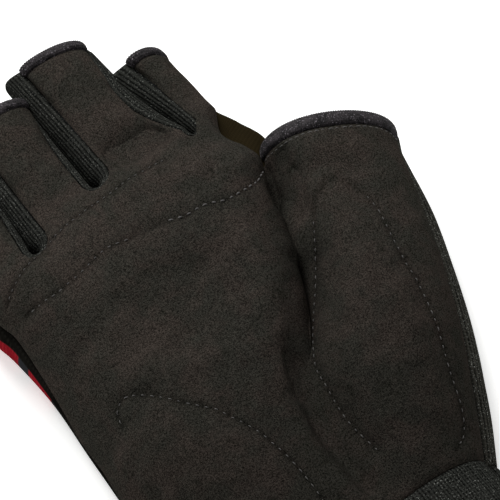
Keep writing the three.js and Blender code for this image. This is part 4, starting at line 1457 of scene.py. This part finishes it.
def makeStrap():
    # a flat superellipse along the strap, narrowing in a circle's arc at the free end
    s = strapLook
    wrist = rowsAt(0, True)
    right = wrist["radial"][0] - s["inset"]
    middle = wrist["radial"][1] - cut["cuffLength"] + s["clearance"] + s["width"] / 2
    share = np.linspace(0, 1, s["rows"])
    x = right - s["reach"] * share
    toEnd = np.minimum(s["reach"] * (1 - share), s["corner"])
    bend = np.sqrt(np.maximum(s["corner"] ** 2 - (s["corner"] - toEnd) ** 2, 0.01))
    half = s["width"] / 2 - s["corner"] + bend
    turn = turns(s["around"])
    y = middle + half[:, None] * power(np.cos(turn), s["square"][0])
    soft = ease(s["reach"] * np.minimum(share, 1 - share) / s["endFade"] + s["endWall"])[:, None]
    z = s["wall"] / 2 * (1 + 0.98 * power(np.sin(turn), s["square"][1]) * soft)
    rings = np.stack(np.broadcast_arrays(x[:, None], y, z), -1)
    ends = rings[[0, -1]].mean(1)
    places = np.concatenate([rings.reshape(-1, 3), ends])
    return places, tubeFaces(s["rows"], s["around"])


places, faces = makeStrap()
makePiece("wristStrap", places, faces, knitFinish("strap"), places[:, :2], ["wrist_strap"])
print("strap made")


# Stitches


stitchLook = {
    "steps": 7,
    "around": 6,
    "start": 0.3,  # in pitches from a line's start
    "stop": 1.4,  # in lengths from its end
    "rise": 1.7,  # a stitch's height over its ends, which lie deep in the cloth
    "depth": 0.7,
    "sway": 1.6,
    "tip": 0.35,
    "dropFrom": 80.0,
}


def restOn(tree, line):
    # drops a plan line onto a surface: places and outward directions
    found = [tree.ray_cast(Vector((x, y, stitchLook["dropFrom"])), Vector((0, 0, -1))) for x, y in line]
    found = [hit for hit in found if hit[0] is not None]
    return np.array([hit[0] for hit in found]), np.array([hit[1] for hit in found])


def stitchShapes(places, facing, pitch, length, radius, seed=0):
    # each stitch is a small spindle whose ends dive into the cloth
    look = stitchLook
    draw = np.random.default_rng(seed)
    run = runOf(places)
    starts = np.arange(pitch * look["start"], run[-1] - look["stop"] * length, pitch)
    uneven = quilting["unevenness"] * (draw.random((2, len(starts))) - 0.5)
    share = np.linspace(0, 1, look["steps"])
    at = starts[:, None] + length * share * (1 + uneven[0])[:, None]
    line = np.stack([np.interp(at, run, places[:, k]) for k in range(3)], -1)
    up = unit(np.stack([np.interp(at, run, facing[:, k]) for k in range(3)], -1))
    along = unit(np.gradient(line, axis=1))
    side = unit(np.cross(along, up))
    hump = np.sin(np.pi * share)
    lift = (radius * (look["rise"] * hump - look["depth"] + look["sway"] * uneven[1][:, None]))[..., None]
    thick = radius * mix(look["tip"], 1, hump**0.5)
    turn = turns(look["around"])
    centre = line + up * lift
    rings = centre[:, :, None] + thick[:, None, None] * (
        side[:, :, None] * np.cos(turn)[:, None] + up[:, :, None] * np.sin(turn)[:, None]
    )
    made = np.concatenate([rings.reshape(len(starts), -1, 3), centre[:, [0, -1]]], 1)
    first = np.arange(len(starts))[:, None, None] * made.shape[1]
    tube = tubeFaces(look["steps"], look["around"])
    return made.reshape(-1, 3), [(f + first).reshape(-1, f.shape[1]) for f in tube]


def makeStitches(name, runs):
    allPlaces, allFaces, count = [], [[], []], 0
    for run in runs:
        places, faces = stitchShapes(**run)
        for k in range(2):
            allFaces[k].append(faces[k] + count)
        allPlaces.append(places)
        count += len(places)
    faces = [np.concatenate(f) for f in allFaces]
    makePiece(name, np.concatenate(allPlaces), faces, thread, None, [])


runs = []
for name, line in sewnLines.items():
    places, facing = restOn(palmTree, line)
    pitch, length, radius = quilting["sewing"].get(name, (1.0, 1.0, 1.0))
    runs.append({
        "places": places,
        "facing": facing,
        "pitch": quilting["pitch"] * pitch,
        "length": quilting["threadLength"] * length,
        "radius": quilting["threadRadius"] * radius,
        "seed": len(runs),
    })
rimStitches = {"inset": 1.3, "pitch": 1.9, "length": 1.3, "radius": 0.13}
thumbLineIds = thumbGridIds[webRow + fine["stubRows"]]
low, high = points[thumbLineIds], points[thumbGridIds[-1]]
rimLine = (low - unit(high - low) * rimStitches["inset"])[3:-3, :2]
places, facing = restOn(palmTree, rimLine)
runs.append({
    "places": places,
    "facing": facing,
    "pitch": rimStitches["pitch"],
    "length": rimStitches["length"],
    "radius": rimStitches["radius"],
})
makeStitches("palmStitches", runs)
print("stitches made")
